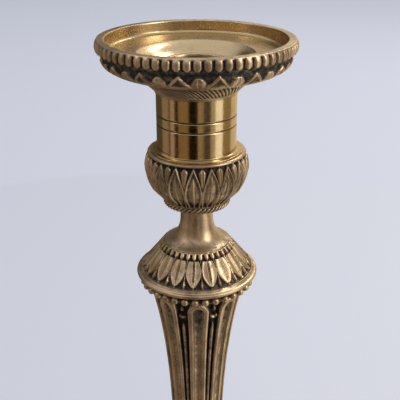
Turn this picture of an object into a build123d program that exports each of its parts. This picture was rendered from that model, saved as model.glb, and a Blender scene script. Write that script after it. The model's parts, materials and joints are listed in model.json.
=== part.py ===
"""A cast and turned brass candlestick: a round foot, a fluted tapering shaft, an urn and a candle
socket are threaded on one steel tie rod, and a drip pan with its candle nozzle drops in on top.

Units are millimetres. The origin is the middle of the felt's underside, and +Z is up the axis.
Every piece is turned about that axis, so outlines are written as (radius, height) points.
"""

import math
import os

from build123d import *

# Fits between pieces
SEAT_GAP = 0.1  # round a locating spigot
SLIDE_GAP = 0.25  # round the nozzle in its socket
TURN_GAP = 0.06  # round the nozzle in the drip pan, and under its lip
REST_GAP = 0.05  # under the drip pan where it rests on the collar
THREAD_GAP = 0.02  # between the rod and a tapped hole, whose threads are left plain
SPIGOT_HEIGHT = 1.6  # how far a locating spigot enters the next piece

# Tie rod and its fixings
ROD_R = 3.0
ROD_GAP = 0.3  # round the rod in everything that it passes through
ROD_CHAMFER = 0.6
ROD_SPIGOT_WALL = 1.9  # of the spigots round the rod
ROD_THREAD_ENGAGED = 8.0  # length of rod screwed into the socket's boss
ROD_BELOW_NUT = 1.6
NUT_ACROSS_FLATS = 10.0
NUT_HEIGHT = 5.0
NUT_CHAMFER = 0.6
LOCK_WASHER_R = 5.6
LOCK_WASHER_THICK = 1.4
LOCK_WASHER_SPLIT = 0.8
WASHER_R = 9.0
WASHER_THICK = 1.6
CLAMP_PLATE_THICK = 2.4
CLAMP_PLATE_RISE = 9.0
CLAMP_PLATE_CROWN_R = 16.0
CLAMP_PLATE_GAP = 0.6  # round the plate inside the plinth

# Foot
FOOT_R = 60.0
FELT_THICK = 1.0
FELT_INSET = 1.5
PLINTH_HEIGHT = 7.0
PLINTH_WALL = 3.2
PLINTH_EDGE_R = 1.8
PLINTH_STEP = 8.6  # from the plinth's edge in to the dome
PLINTH_LEDGE = 10.0  # how far the plinth's flange reaches in under the dome
PLINTH_FLANGE_THICK = 2.2
DOME_WALL = 2.4
DOME_HEIGHT = 17.0
DOME_CROWN_WIDTH = 1.0  # flat left round the flare
DOME_CROWN_RISE = 1.0
DOME_HOLE_R = 18.0
FOOT_BEAD_R = 1.9
FOOT_BEAD_PITCH = 4.2
FOOT_BEAD_RING_HEIGHT = 4.0
FOOT_BEAD_RING_WIDTH = 2.2
FLARE_R = 30.0
FLARE_LIP_HEIGHT = 1.0
FLARE_HEIGHT = 19.5
FLARE_TOP_R = 11.4
FLARE_WALL = 2.6
FLARE_TOP_THICK = 6.0

# Knop and shaft
KNOP_R = 15.2
KNOP_NECK_R = 11.6
KNOP_HEIGHT = 8.5
SHAFT_RING_R = 12.2
SHAFT_RING_HEIGHT = 3.0
SHAFT_LENGTH = 115.0
SHAFT_TOP_R = 18.3
SHAFT_SLIM_R = 9.3  # the radius that the shaft runs out to
SHAFT_DECAY = 32.0  # length over which the swelling under the capital dies away
SHAFT_WALL = 3.2  # left behind the deepest flute
FLUTE_COUNT = 8
FLUTE_DEPTH = 0.10  # share of the shaft's radius there
FLUTE_WIDTH = 0.44  # share of the flute's own pitch round the shaft
CHANNEL_DEPTH = 0.085
CHANNEL_WIDTH = 0.24
FLUTE_END = 4.0  # plain metal left at each end of the shaft

# Capital
BEAD_RING_HEIGHT = 4.5
BEAD_RING_STEP = 2.35  # from the shaft's top out to the bead centres
BEAD_R = 1.4
BEAD_PITCH = 3.8
BEAD_RING_HOLE_R = 9.0
SHOULDER_HEIGHT = 13.5
SHOULDER_OVERHANG = 2.45  # of the rim past the bead centres
SHOULDER_RIM_HEIGHT = 1.9
SHOULDER_LEDGE = 1.7  # from the rim in to the foot of the slope
SHOULDER_TOP_R = 12.9
SHOULDER_WALL = 2.4
SHOULDER_TOP_THICK = 3.4
NECK_HEIGHT = 15.5
NECK_FOOT_R = 12.4
NECK_WAIST_R = 6.1
NECK_HEAD_R = 7.6

# Urn
URN_RING_R = 12.4
URN_RING_HEIGHT = 2.5
URN_HEIGHT = 18.5
URN_FOOT_R = 12.8
URN_SWELL = 2.1  # from the urn's lip out to its belly
URN_WALL = 2.4
URN_FLOOR_THICK = 3.4

# Socket, nozzle and drip pan
CANDLE_R = 11.2  # bore that takes the candle
NOZZLE_WALL = 1.1
NOZZLE_LIP_WIDTH = 1.1
NOZZLE_LIP_THICK = 0.9
NOZZLE_FOOT_GAP = 0.7  # between the nozzle and the socket's floor
SOCKET_WALL = 1.75
SOCKET_HEIGHT = 26.9
SOCKET_FLOOR_THICK = 2.6
SOCKET_FLANGE_WIDTH = 2.3
SOCKET_FLANGE_THICK = 0.7
SOCKET_FLANGE_INSET = 0.3  # of the flange's edge from the urn's lip
SOCKET_COVE_HEIGHT = 1.1
SOCKET_BOSS_WALL = 3.2
SOCKET_BOSS_HEIGHT = 9.0
GROOVE_DEPTH = 0.3
GROOVE_HEIGHT = 0.55
GROOVES_FROM_MOUTH = (13.4, 16.9)
COLLAR_HEIGHT = 5.4
COLLAR_FOOT_WIDTH = 0.45
COLLAR_HEAD_WIDTH = 5.4
PAN_HEIGHT = 13.0
PAN_R = 34.6
PAN_RIM_HEIGHT = 5.6
PAN_RIM_WIDTH = 3.4
PAN_RIM_OVERHANG = 1.6  # of the rim past the underside
PAN_WALL_DEPTH = 4.2
PAN_WELL_WIDTH = 7.0  # of the curved slope round the nozzle's lip
PAN_WELL_DEPTH = 5.2  # from the rim to the top of that slope
PAN_FLOOR_THICK = 3.7  # under the nozzle's lip

# Heights of the joins, from the felt up
Z_PLINTH = FELT_THICK
Z_DOME = Z_PLINTH + PLINTH_HEIGHT
Z_FLARE = Z_DOME + DOME_HEIGHT
Z_KNOP = Z_FLARE + FLARE_HEIGHT
Z_SHAFT_RING = Z_KNOP + KNOP_HEIGHT
Z_SHAFT = Z_SHAFT_RING + SHAFT_RING_HEIGHT
Z_BEAD_RING = Z_SHAFT + SHAFT_LENGTH
Z_SHOULDER = Z_BEAD_RING + BEAD_RING_HEIGHT
Z_NECK = Z_SHOULDER + SHOULDER_HEIGHT
Z_URN_RING = Z_NECK + NECK_HEIGHT
Z_URN = Z_URN_RING + URN_RING_HEIGHT
Z_SOCKET = Z_URN + URN_HEIGHT
Z_MOUTH = Z_SOCKET + SOCKET_HEIGHT
Z_PAN = Z_MOUTH + REST_GAP
Z_RIM = Z_PAN + PAN_HEIGHT

# Radii and heights that several pieces share
ROD_HOLE_R = ROD_R + ROD_GAP
ROD_SPIGOT_R = ROD_HOLE_R + ROD_SPIGOT_WALL
ROD_SEAT_R = ROD_SPIGOT_R + SEAT_GAP
DOME_R = FOOT_R - PLINTH_STEP
DOME_CROWN_R = FLARE_R + DOME_CROWN_WIDTH
PLINTH_HOLE_R = DOME_R - PLINTH_LEDGE
SHAFT_SOCKET_R = SHAFT_TOP_R * (1 - FLUTE_DEPTH) - SHAFT_WALL
BEAD_RING_R = SHAFT_TOP_R + BEAD_RING_STEP
SHOULDER_R = BEAD_RING_R + SHOULDER_OVERHANG
NOZZLE_R = CANDLE_R + NOZZLE_WALL
NOZZLE_LIP_R = NOZZLE_R + NOZZLE_LIP_WIDTH
SOCKET_BORE_R = NOZZLE_R + SLIDE_GAP
SOCKET_R = SOCKET_BORE_R + SOCKET_WALL
SOCKET_FLANGE_R = SOCKET_R + SOCKET_FLANGE_WIDTH
COLLAR_HEAD_R = SOCKET_R + COLLAR_HEAD_WIDTH
URN_LIP_R = SOCKET_FLANGE_R + SOCKET_FLANGE_INSET
URN_BELLY_R = URN_LIP_R + URN_SWELL
URN_MOUTH_R = URN_LIP_R - URN_WALL
Z_PAN_FLOOR = Z_PAN + PAN_FLOOR_THICK
Z_NOZZLE_LIP = Z_PAN_FLOOR + TURN_GAP
Z_ROD_TOP = Z_SOCKET - SPIGOT_HEIGHT - SOCKET_BOSS_HEIGHT + ROD_THREAD_ENGAGED
Z_PLINTH_FLANGE = Z_DOME - PLINTH_FLANGE_THICK
Z_CLAMP = Z_PLINTH_FLANGE + CLAMP_PLATE_RISE - CLAMP_PLATE_THICK
Z_LOCK_WASHER = Z_CLAMP - WASHER_THICK - LOCK_WASHER_THICK
Z_NUT = Z_LOCK_WASHER - NUT_HEIGHT
Z_ROD_FOOT = Z_NUT - ROD_BELOW_NUT


def outline(start, *steps):
    """Edges of a closed outline: a step is the next point, or a list of points on one curve."""
    edges, here = [], start
    for step in steps:
        if isinstance(step, list):
            through = [here, *step]
            edges.append(ThreePointArc(*through) if len(through) == 3 else Spline(*through))
            here = step[-1]
        else:
            edges.append(Line(here, step))
            here = step
    edges.append(Line(here, start))
    return edges


def turned(start, *steps):
    """The solid that a closed outline of (radius, height) sweeps about the axis."""
    return revolve(Plane.XZ * make_face(outline(start, *steps)), Axis.Z)


def square_ring(hole_r, outer_r, low, high):
    """A plain ring of square section."""
    return turned((hole_r, low), (outer_r, low), (outer_r, high), (hole_r, high))


def round_ring(hole_r, outer_r, low, high):
    """A ring with a flat bore and faces and a half-round edge."""
    edge_r = (high - low) / 2
    face_r = outer_r - edge_r
    return turned(
        (hole_r, low),
        (face_r, low),
        [(outer_r, low + edge_r), (face_r, high)],
        (hole_r, high),
    )


def between(low, high, *shares):
    """Points on a curve from low to high, each given as its (radius, height) shares of the way."""
    (low_r, low_z), (high_r, high_z) = low, high
    return [(low_r + a * (high_r - low_r), low_z + b * (high_z - low_z)) for a, b in shares]


def beads(circle_r, bead_r, height, pitch):
    """A circle of round beads, as many as the pitch allows."""
    count = int(2 * math.pi * circle_r / pitch)
    return [
        Pos(*Vector(circle_r, 0, height).rotate(Axis.Z, 360 * i / count)) * Sphere(bead_r)
        for i in range(count)
    ]


def felt_pad():
    """The disc of felt under the foot."""
    return Pos(0, 0, FELT_THICK / 2) * Cylinder(FOOT_R - FELT_INSET, FELT_THICK)


def foot_plinth():
    """The foot's plain outer step, with a flange that the dome stands on."""
    skirt_r = FOOT_R - PLINTH_WALL
    inset = PLINTH_EDGE_R * (1 - math.sqrt(0.5))
    return turned(
        (skirt_r, Z_PLINTH),
        (FOOT_R, Z_PLINTH),
        (FOOT_R, Z_DOME - PLINTH_EDGE_R),
        [(FOOT_R - inset, Z_DOME - inset), (FOOT_R - PLINTH_EDGE_R, Z_DOME)],
        (PLINTH_HOLE_R, Z_DOME),
        (PLINTH_HOLE_R, Z_PLINTH_FLANGE),
        (skirt_r, Z_PLINTH_FLANGE),
    )


def foot_bead_ring():
    """A ring of beads laid in the angle between the plinth and the dome."""
    circle_r = DOME_R + FOOT_BEAD_RING_WIDTH
    band = square_ring(DOME_R, circle_r, Z_DOME, Z_DOME + FOOT_BEAD_RING_HEIGHT)
    middle = Z_DOME + FOOT_BEAD_RING_HEIGHT / 2
    return band + beads(circle_r, FOOT_BEAD_R, middle, FOOT_BEAD_PITCH)


def foot_dome():
    """The low dome: a shell that rises from an upright edge to a raised crown."""
    edge, crown = Z_DOME + FOOT_BEAD_RING_HEIGHT, Z_FLARE - DOME_CROWN_RISE
    inner_r, inner_crown = DOME_R - DOME_WALL, crown - DOME_WALL
    bulge = (0.38, 0.68)
    return turned(
        (inner_r, Z_DOME),
        (DOME_R, Z_DOME),
        (DOME_R, edge),
        between((DOME_R, edge), (DOME_CROWN_R, crown), bulge, (1, 1)),
        (DOME_CROWN_R, Z_FLARE),
        (DOME_HOLE_R, Z_FLARE),
        (DOME_HOLE_R, inner_crown),
        (DOME_CROWN_R, inner_crown),
        between((DOME_CROWN_R, inner_crown), (inner_r, edge), (0.62, 0.32), (1, 1)),
    )


def foot_flare():
    """The smooth hollow trumpet between the dome and the knop."""
    lip = (FLARE_R, Z_FLARE + FLARE_LIP_HEIGHT)
    spigot_r = DOME_HOLE_R - SEAT_GAP
    hollow_top = Z_KNOP - FLARE_TOP_THICK
    return turned(
        (spigot_r - FLARE_WALL, Z_FLARE - SPIGOT_HEIGHT),
        (spigot_r, Z_FLARE - SPIGOT_HEIGHT),
        (spigot_r, Z_FLARE),
        (FLARE_R, Z_FLARE),
        lip,
        between(lip, (FLARE_TOP_R, Z_KNOP), (0.47, 0.13), (0.75, 0.36), (0.94, 0.7), (1, 1)),
        (ROD_SPIGOT_R, Z_KNOP),
        (ROD_SPIGOT_R, Z_KNOP + SPIGOT_HEIGHT),
        (ROD_HOLE_R, Z_KNOP + SPIGOT_HEIGHT),
        (ROD_HOLE_R, hollow_top),
        (FLARE_TOP_R - FLARE_WALL, hollow_top),
        (spigot_r - FLARE_WALL, Z_FLARE + FLARE_WALL),
    )


def base_knop():
    """The cushion between the foot and the shaft, whose spigot runs up into the shaft."""
    seat_top = Z_KNOP + SPIGOT_HEIGHT + SEAT_GAP
    return turned(
        (ROD_HOLE_R, seat_top),
        (ROD_SEAT_R, seat_top),
        (ROD_SEAT_R, Z_KNOP),
        (KNOP_NECK_R, Z_KNOP),
        [(KNOP_R, (Z_KNOP + Z_SHAFT_RING) / 2), (KNOP_NECK_R, Z_SHAFT_RING)],
        (ROD_SPIGOT_R, Z_SHAFT_RING),
        (ROD_SPIGOT_R, Z_SHAFT + SPIGOT_HEIGHT),
        (ROD_HOLE_R, Z_SHAFT + SPIGOT_HEIGHT),
    )


def shaft_ring():
    """The twisted ring under the shaft."""
    return round_ring(ROD_SEAT_R, SHAFT_RING_R, Z_SHAFT_RING, Z_SHAFT)


def shaft_radius(height):
    """The shaft's outside at a height above its foot: it slims exponentially from the top."""
    swelling = math.exp((height - SHAFT_LENGTH) / SHAFT_DECAY)
    return SHAFT_SLIM_R + (SHAFT_TOP_R - SHAFT_SLIM_R) * swelling


def shaft_levels(low, high, count):
    """Evenly spaced heights along the shaft."""
    return [low + (high - low) * i / (count - 1) for i in range(count)]


def groove_cutters(depth_share, width_share, first_angle):
    """Tapering round-bottomed cutters that follow the shaft's outside, one for each flute."""
    sections = []
    for height in shaft_levels(FLUTE_END, SHAFT_LENGTH - FLUTE_END, 7):
        r = shaft_radius(height)
        depth = depth_share * r
        half_width = width_share * math.pi * r / FLUTE_COUNT
        cutter_r = (half_width**2 + depth**2) / (2 * depth)
        section = Pos(r - depth + cutter_r, 0, Z_SHAFT + height) * Circle(cutter_r)
        sections.append(section.face())
    cutter = loft(sections)
    pitch = 360 / FLUTE_COUNT
    return [cutter.rotate(Axis.Z, first_angle + pitch * i) for i in range(FLUTE_COUNT)]


def fluted_shaft():
    """The hollow tapering shaft, with wide flutes and narrow channels by turns."""
    levels = shaft_levels(0, SHAFT_LENGTH, 8)
    outside = [(shaft_radius(h), Z_SHAFT + h) for h in levels]
    inside_r = [shaft_radius(h) * (1 - FLUTE_DEPTH) - SHAFT_WALL for h in levels]
    inside = [(max(r, ROD_SEAT_R), Z_SHAFT + h) for r, h in zip(inside_r, levels)]
    seat_foot = Z_BEAD_RING - SPIGOT_HEIGHT - SEAT_GAP
    seat_top = Z_SHAFT + SPIGOT_HEIGHT + SEAT_GAP
    blank = turned(
        (ROD_SEAT_R, Z_SHAFT),
        outside[0],
        outside[1:],
        (SHAFT_SOCKET_R, Z_BEAD_RING),
        (SHAFT_SOCKET_R, seat_foot),
        *inside[-2:0:-1],
        (ROD_SEAT_R, seat_top),
    )
    front, half_pitch = -90, 180 / FLUTE_COUNT
    blank -= groove_cutters(FLUTE_DEPTH, FLUTE_WIDTH, front)
    return blank - groove_cutters(CHANNEL_DEPTH, CHANNEL_WIDTH, front + half_pitch)


def bead_ring():
    """The ring of beads under the capital, with a spigot down into the shaft."""
    spigot_r = SHAFT_SOCKET_R - SEAT_GAP
    middle = (Z_BEAD_RING + Z_SHOULDER) / 2
    band = turned(
        (BEAD_RING_HOLE_R, Z_BEAD_RING - SPIGOT_HEIGHT),
        (spigot_r, Z_BEAD_RING - SPIGOT_HEIGHT),
        (spigot_r, Z_BEAD_RING),
        (SHAFT_TOP_R, Z_BEAD_RING),
        (BEAD_RING_R, middle),
        (BEAD_RING_R, Z_SHOULDER),
        (BEAD_RING_HOLE_R, Z_SHOULDER),
    )
    return band + beads(BEAD_RING_R, BEAD_R, middle, BEAD_PITCH)


def shoulder_cap():
    """The capital: a sloping shell with a rounded rim below and a thick crown above."""
    rim_r, rim = SHOULDER_R - 0.8, Z_SHOULDER + SHOULDER_RIM_HEIGHT
    under_crown = Z_NECK - SHOULDER_TOP_THICK
    inner_r = SHOULDER_R - SHOULDER_WALL - 2.0
    spigot_r = BEAD_RING_HOLE_R - SEAT_GAP
    seat_foot = Z_NECK - SPIGOT_HEIGHT - SEAT_GAP
    return turned(
        (inner_r, Z_SHOULDER),
        (rim_r, Z_SHOULDER),
        [(SHOULDER_R, (Z_SHOULDER + rim) / 2), (rim_r, rim)],
        (SHOULDER_R - SHOULDER_LEDGE, rim),
        (SHOULDER_TOP_R, Z_NECK),
        (ROD_SEAT_R, Z_NECK),
        (ROD_SEAT_R, seat_foot),
        (ROD_HOLE_R, seat_foot),
        (ROD_HOLE_R, Z_SHOULDER - SPIGOT_HEIGHT),
        (spigot_r, Z_SHOULDER - SPIGOT_HEIGHT),
        (spigot_r, under_crown),
        (SHOULDER_TOP_R - SHOULDER_WALL, under_crown),
        (inner_r, rim),
    )


def neck():
    """The waisted neck, flaring down over the capital, whose spigot runs up into the urn."""
    foot, head = (NECK_FOOT_R, Z_NECK), (NECK_HEAD_R, Z_URN_RING)
    waist = (NECK_WAIST_R, Z_NECK + 0.62 * NECK_HEIGHT)
    flare = between(foot, waist, (0.4, 0.13), (0.65, 0.28), (0.9, 0.57), (1, 1))
    return turned(
        (ROD_HOLE_R, Z_NECK - SPIGOT_HEIGHT),
        (ROD_SPIGOT_R, Z_NECK - SPIGOT_HEIGHT),
        (ROD_SPIGOT_R, Z_NECK),
        foot,
        flare + between(waist, head, (0.27, 0.66), (1, 1)),
        (ROD_SPIGOT_R, Z_URN_RING),
        (ROD_SPIGOT_R, Z_URN + SPIGOT_HEIGHT),
        (ROD_HOLE_R, Z_URN + SPIGOT_HEIGHT),
    )


def urn_ring():
    """The twisted ring under the urn."""
    return round_ring(ROD_SEAT_R, URN_RING_R, Z_URN_RING, Z_URN)


def urn_cup():
    """The bowl of the urn, open at the top where the socket drops in."""
    belly = (URN_BELLY_R, Z_URN + 0.67 * URN_HEIGHT)
    swell = ((0.35, 0.18), (0.59, 0.35), (0.88, 0.72), (1, 1))
    floor = Z_URN + URN_FLOOR_THICK
    return turned(
        (ROD_SEAT_R, Z_URN),
        (URN_FOOT_R, Z_URN),
        between((URN_FOOT_R, Z_URN), belly, *swell)
        + between(belly, (URN_LIP_R, Z_SOCKET), (0.33, 0.66), (1, 1)),
        (URN_MOUTH_R, Z_SOCKET),
        (URN_BELLY_R - URN_WALL, belly[1]),
        (URN_FOOT_R, floor),
        (ROD_SEAT_R, floor),
    )


def candle_socket():
    """The turned socket: a tube, a coved flange that closes the urn, and a tapped boss."""
    floor, flange = Z_SOCKET + SOCKET_FLOOR_THICK, Z_SOCKET + SOCKET_FLANGE_THICK
    spigot_r, spigot = URN_MOUTH_R - SEAT_GAP, Z_SOCKET - SPIGOT_HEIGHT
    boss_r, boss = ROD_R + SOCKET_BOSS_WALL, spigot - SOCKET_BOSS_HEIGHT
    tapped_r, tapped_top = ROD_R + THREAD_GAP, Z_ROD_TOP + SEAT_GAP
    cove_top = (SOCKET_R, flange + SOCKET_COVE_HEIGHT)
    blank = turned(
        (0, floor),
        (SOCKET_BORE_R, floor),
        (SOCKET_BORE_R, Z_MOUTH),
        (SOCKET_R, Z_MOUTH),
        cove_top,
        between(cove_top, (SOCKET_FLANGE_R, flange), (0.25, 0.65), (1, 1)),
        (SOCKET_FLANGE_R, Z_SOCKET),
        (spigot_r, Z_SOCKET),
        (spigot_r, spigot),
        (boss_r, spigot),
        (boss_r, boss),
        (tapped_r, boss),
        (tapped_r, tapped_top),
        (0, tapped_top),
    )
    for below_mouth in GROOVES_FROM_MOUTH:
        middle = Z_MOUTH - below_mouth
        blank -= turned(
            (SOCKET_R + 1, middle - GROOVE_HEIGHT),
            (SOCKET_R + 1, middle + GROOVE_HEIGHT),
            (SOCKET_R, middle + GROOVE_HEIGHT / 2),
            (SOCKET_R - GROOVE_DEPTH, middle),
            (SOCKET_R, middle - GROOVE_HEIGHT / 2),
        )
    return blank


def socket_collar():
    """The flared twisted collar soldered round the socket's mouth."""
    foot_r, low = SOCKET_R + COLLAR_FOOT_WIDTH, Z_MOUTH - COLLAR_HEIGHT
    lean_foot = (foot_r, low + 0.1 * COLLAR_HEIGHT)
    lean_head = (COLLAR_HEAD_R, Z_MOUTH - 0.06 * COLLAR_HEIGHT)
    return turned(
        (SOCKET_R, low),
        (foot_r, low),
        lean_foot,
        between(lean_foot, lean_head, (0.38, 0.34), (1, 1)),
        (COLLAR_HEAD_R, Z_MOUTH),
        (SOCKET_R, Z_MOUTH),
    )


def candle_nozzle():
    """The open tube that holds the candle, with a thin lip over the drip pan's hole."""
    foot = Z_SOCKET + SOCKET_FLOOR_THICK + NOZZLE_FOOT_GAP
    top = Z_NOZZLE_LIP + NOZZLE_LIP_THICK
    return turned(
        (CANDLE_R, foot),
        (NOZZLE_R, foot),
        (NOZZLE_R, Z_NOZZLE_LIP),
        (NOZZLE_LIP_R, Z_NOZZLE_LIP),
        (NOZZLE_LIP_R, top - NOZZLE_LIP_THICK / 2),
        (NOZZLE_LIP_R - NOZZLE_LIP_WIDTH / 2, top),
        (CANDLE_R, top),
    )


def drip_pan():
    """The heavy drip pan: a thick rim, a rounded underside and a well round the nozzle."""
    hole_r, floor_r = NOZZLE_R + TURN_GAP, NOZZLE_LIP_R + TURN_GAP
    well = (floor_r + PAN_WELL_WIDTH, Z_RIM - PAN_WELL_DEPTH)
    seat = (COLLAR_HEAD_R, Z_PAN)
    under = (PAN_R - PAN_RIM_OVERHANG, Z_RIM - PAN_RIM_HEIGHT)
    cyma = ((0.21, 0.08), (0.51, 0.243), (0.774, 0.432), (0.925, 0.62), (0.985, 0.81), (1, 1))
    mouth_r = PAN_R - PAN_RIM_WIDTH
    return turned(
        (hole_r, Z_PAN),
        seat,
        between(seat, under, *cyma),
        [(PAN_R, Z_RIM - 0.4 * PAN_RIM_HEIGHT), (PAN_R - 0.4, Z_RIM - 0.4)],
        (PAN_R - 0.6, Z_RIM),
        (mouth_r, Z_RIM),
        (mouth_r - 0.3, Z_RIM - PAN_WALL_DEPTH + 0.5),
        (mouth_r - 0.8, Z_RIM - PAN_WALL_DEPTH),
        well,
        between(well, (floor_r, Z_PAN_FLOOR), (0.3, 0.25), (0.65, 0.7), (1, 1)),
        (hole_r, Z_PAN_FLOOR),
    )


def clamp_plate():
    """The raised plate inside the foot that the nut pulls up against the plinth's flange."""
    outer_r = FOOT_R - PLINTH_WALL - CLAMP_PLATE_GAP
    shoulder_r = PLINTH_HOLE_R - SEAT_GAP
    low = Z_PLINTH_FLANGE - CLAMP_PLATE_THICK
    return turned(
        (ROD_HOLE_R, Z_CLAMP),
        (CLAMP_PLATE_CROWN_R - CLAMP_PLATE_THICK, Z_CLAMP),
        (shoulder_r - CLAMP_PLATE_THICK, low),
        (outer_r, low),
        (outer_r, Z_PLINTH_FLANGE),
        (shoulder_r, Z_PLINTH_FLANGE),
        (CLAMP_PLATE_CROWN_R, Z_CLAMP + CLAMP_PLATE_THICK),
        (ROD_HOLE_R, Z_CLAMP + CLAMP_PLATE_THICK),
    )


def clamp_washer():
    """The flat washer under the clamp plate."""
    return square_ring(ROD_HOLE_R, WASHER_R, Z_CLAMP - WASHER_THICK, Z_CLAMP)


def lock_washer():
    """The split lock washer between the nut and the flat washer."""
    whole = square_ring(ROD_HOLE_R, LOCK_WASHER_R, Z_LOCK_WASHER, Z_CLAMP - WASHER_THICK)
    cutter = Box(2 * LOCK_WASHER_R, LOCK_WASHER_SPLIT, 3 * LOCK_WASHER_THICK)
    return whole - Pos(LOCK_WASHER_R, 0, Z_LOCK_WASHER) * cutter


def tie_rod_nut():
    """The hexagon nut, its threads left plain."""
    corner_r = NUT_ACROSS_FLATS / math.sqrt(3)
    hexagon = extrude(Pos(0, 0, Z_NUT) * RegularPolygon(corner_r, 6), NUT_HEIGHT)
    chamfered = turned(
        (0, Z_NUT),
        (corner_r - NUT_CHAMFER, Z_NUT),
        (corner_r, Z_NUT + NUT_CHAMFER),
        (corner_r, Z_LOCK_WASHER - NUT_CHAMFER),
        (corner_r - NUT_CHAMFER, Z_LOCK_WASHER),
        (0, Z_LOCK_WASHER),
    )
    bore = Pos(0, 0, Z_NUT) * Cylinder(ROD_R + THREAD_GAP, 3 * NUT_HEIGHT)
    return (hexagon & chamfered) - bore


def tie_rod():
    """The steel rod that holds the whole stack together, its threads left plain."""
    return turned(
        (0, Z_ROD_FOOT),
        (ROD_R - ROD_CHAMFER, Z_ROD_FOOT),
        (ROD_R, Z_ROD_FOOT + ROD_CHAMFER),
        (ROD_R, Z_ROD_TOP - ROD_CHAMFER),
        (ROD_R - ROD_CHAMFER, Z_ROD_TOP),
        (0, Z_ROD_TOP),
    )


PIECES = (
    felt_pad,
    foot_plinth,
    foot_bead_ring,
    foot_dome,
    foot_flare,
    base_knop,
    shaft_ring,
    fluted_shaft,
    bead_ring,
    shoulder_cap,
    neck,
    urn_ring,
    urn_cup,
    candle_socket,
    socket_collar,
    candle_nozzle,
    drip_pan,
    clamp_plate,
    clamp_washer,
    lock_washer,
    tie_rod_nut,
    tie_rod,
)

os.makedirs("parts", exist_ok=True)
for piece in PIECES:
    export_step(piece(), f"parts/{piece.__name__}.step")
print("height", round(Z_RIM, 2), "foot", 2 * FOOT_R, "candle bore", 2 * CANDLE_R)
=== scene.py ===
# %% [markdown]
# # A cast and turned brass candlestick
# The real object is a stack of brass castings on one hidden steel rod. Some parts were only
# turned on a lathe: the socket, the neck and the inside of the drip pan. The others came from
# the sand mould with ornament on them and were then chased by hand. Both kinds are round, so
# one idea makes nearly every piece here: a section is carried round the axis on a grid, and
# ornament is a height added to that grid. The CAD model gives the places and sizes.

import json
import math

import bpy
import mathutils
import numpy as np
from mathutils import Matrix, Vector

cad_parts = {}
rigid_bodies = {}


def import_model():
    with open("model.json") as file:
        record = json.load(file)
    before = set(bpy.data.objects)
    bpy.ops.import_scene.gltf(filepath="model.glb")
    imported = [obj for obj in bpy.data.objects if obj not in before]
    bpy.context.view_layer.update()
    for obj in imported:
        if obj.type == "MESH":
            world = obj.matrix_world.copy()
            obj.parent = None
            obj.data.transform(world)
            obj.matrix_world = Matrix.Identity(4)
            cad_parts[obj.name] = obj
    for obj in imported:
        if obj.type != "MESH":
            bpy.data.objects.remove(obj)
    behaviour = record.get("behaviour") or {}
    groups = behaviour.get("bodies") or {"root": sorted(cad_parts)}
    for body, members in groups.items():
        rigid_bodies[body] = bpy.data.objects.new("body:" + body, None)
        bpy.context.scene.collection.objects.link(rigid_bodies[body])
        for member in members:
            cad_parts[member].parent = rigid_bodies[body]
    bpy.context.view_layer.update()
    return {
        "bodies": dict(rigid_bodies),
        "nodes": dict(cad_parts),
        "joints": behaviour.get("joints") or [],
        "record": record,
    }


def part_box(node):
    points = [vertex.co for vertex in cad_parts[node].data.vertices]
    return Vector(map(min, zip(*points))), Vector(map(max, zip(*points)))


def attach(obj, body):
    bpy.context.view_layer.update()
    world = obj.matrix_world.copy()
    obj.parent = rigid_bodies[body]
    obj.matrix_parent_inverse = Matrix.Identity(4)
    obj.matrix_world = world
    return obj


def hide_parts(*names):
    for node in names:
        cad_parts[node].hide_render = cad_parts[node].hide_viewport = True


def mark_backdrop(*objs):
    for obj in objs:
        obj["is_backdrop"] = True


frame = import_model()
MM = 0.001
ROD_HOLE = 3.3  # radius of the hole round the tie rod
SPIGOT = 5.2  # radius of the spigots that centre one casting in the next
SEAT = 5.3  # radius of the holes that those spigots enter

# %% [markdown]
# ## Sections
# A lathe tool follows an outline, so each piece starts as one: points of radius and height. A
# Bezier curve object could be spun, but plain arrays keep the rows where ornament needs them.
# Every stretch of an outline stops a little short of its ends. Two stretches that meet at a
# corner then leave a narrow chamfer, and a chamfer is what makes a metal edge catch the light.


# %% Outline helpers
def limits(node):
    """A CAD node's outer radius, lowest height and highest height, in millimetres."""
    low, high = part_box(node)
    return high.x / MM, low.z / MM, high.z / MM


def inset(radius, height, *pairs):
    """Points given by how far in from the radius and how far below the height they lie."""
    return [(radius - inward, height - drop) for inward, drop in pairs]


def stretch(points, rows, chamfer=0.1):
    """Rows spaced evenly along a smooth curve through the points, short of both ends.

    Between two points the curve is the cubic that leaves and arrives along the slope of the
    neighbouring points: p0(2u^3-3u^2+1) + m0(u^3-2u^2+u) + p1(3u^2-2u^3) + m1(u^3-u^2).
    Two points give a straight line.
    """
    points = np.array(points, float)
    steps = np.linalg.norm(np.diff(points, axis=0), axis=1)
    along = np.concatenate(([0], np.cumsum(steps)))
    slope = np.gradient(points, along, axis=0)
    fine = np.linspace(0, along[-1], 60 * len(points))
    k = np.clip(np.searchsorted(along, fine, side="right") - 1, 0, len(steps) - 1)
    u = ((fine - along[k]) / steps[k])[:, None]
    curve = (2 * u**3 - 3 * u**2 + 1) * points[k]
    curve += (u**3 - 2 * u**2 + u) * slope[k] * steps[k][:, None]
    curve += (3 * u**2 - 2 * u**3) * points[k + 1]
    curve += (u**3 - u**2) * slope[k + 1] * steps[k][:, None]
    lengths = np.linalg.norm(np.diff(curve, axis=0), axis=1)
    run = np.concatenate(([0], np.cumsum(lengths)))
    short = min(chamfer, run[-1] / 4)
    stops = np.linspace(short, run[-1] - short, rows)
    return np.column_stack([np.interp(stops, run, curve[:, i]) for i in (0, 1)])


def chain(start, *legs):
    """Stretches from end to end. A leg is its rows, or (rows, chamfer), and then its points."""
    stretches = []
    for rows, *points in legs:
        spacing = rows if isinstance(rows, tuple) else (rows,)
        stretches.append(stretch([start, *points], *spacing))
        start = points[-1]
    return stretches


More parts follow.
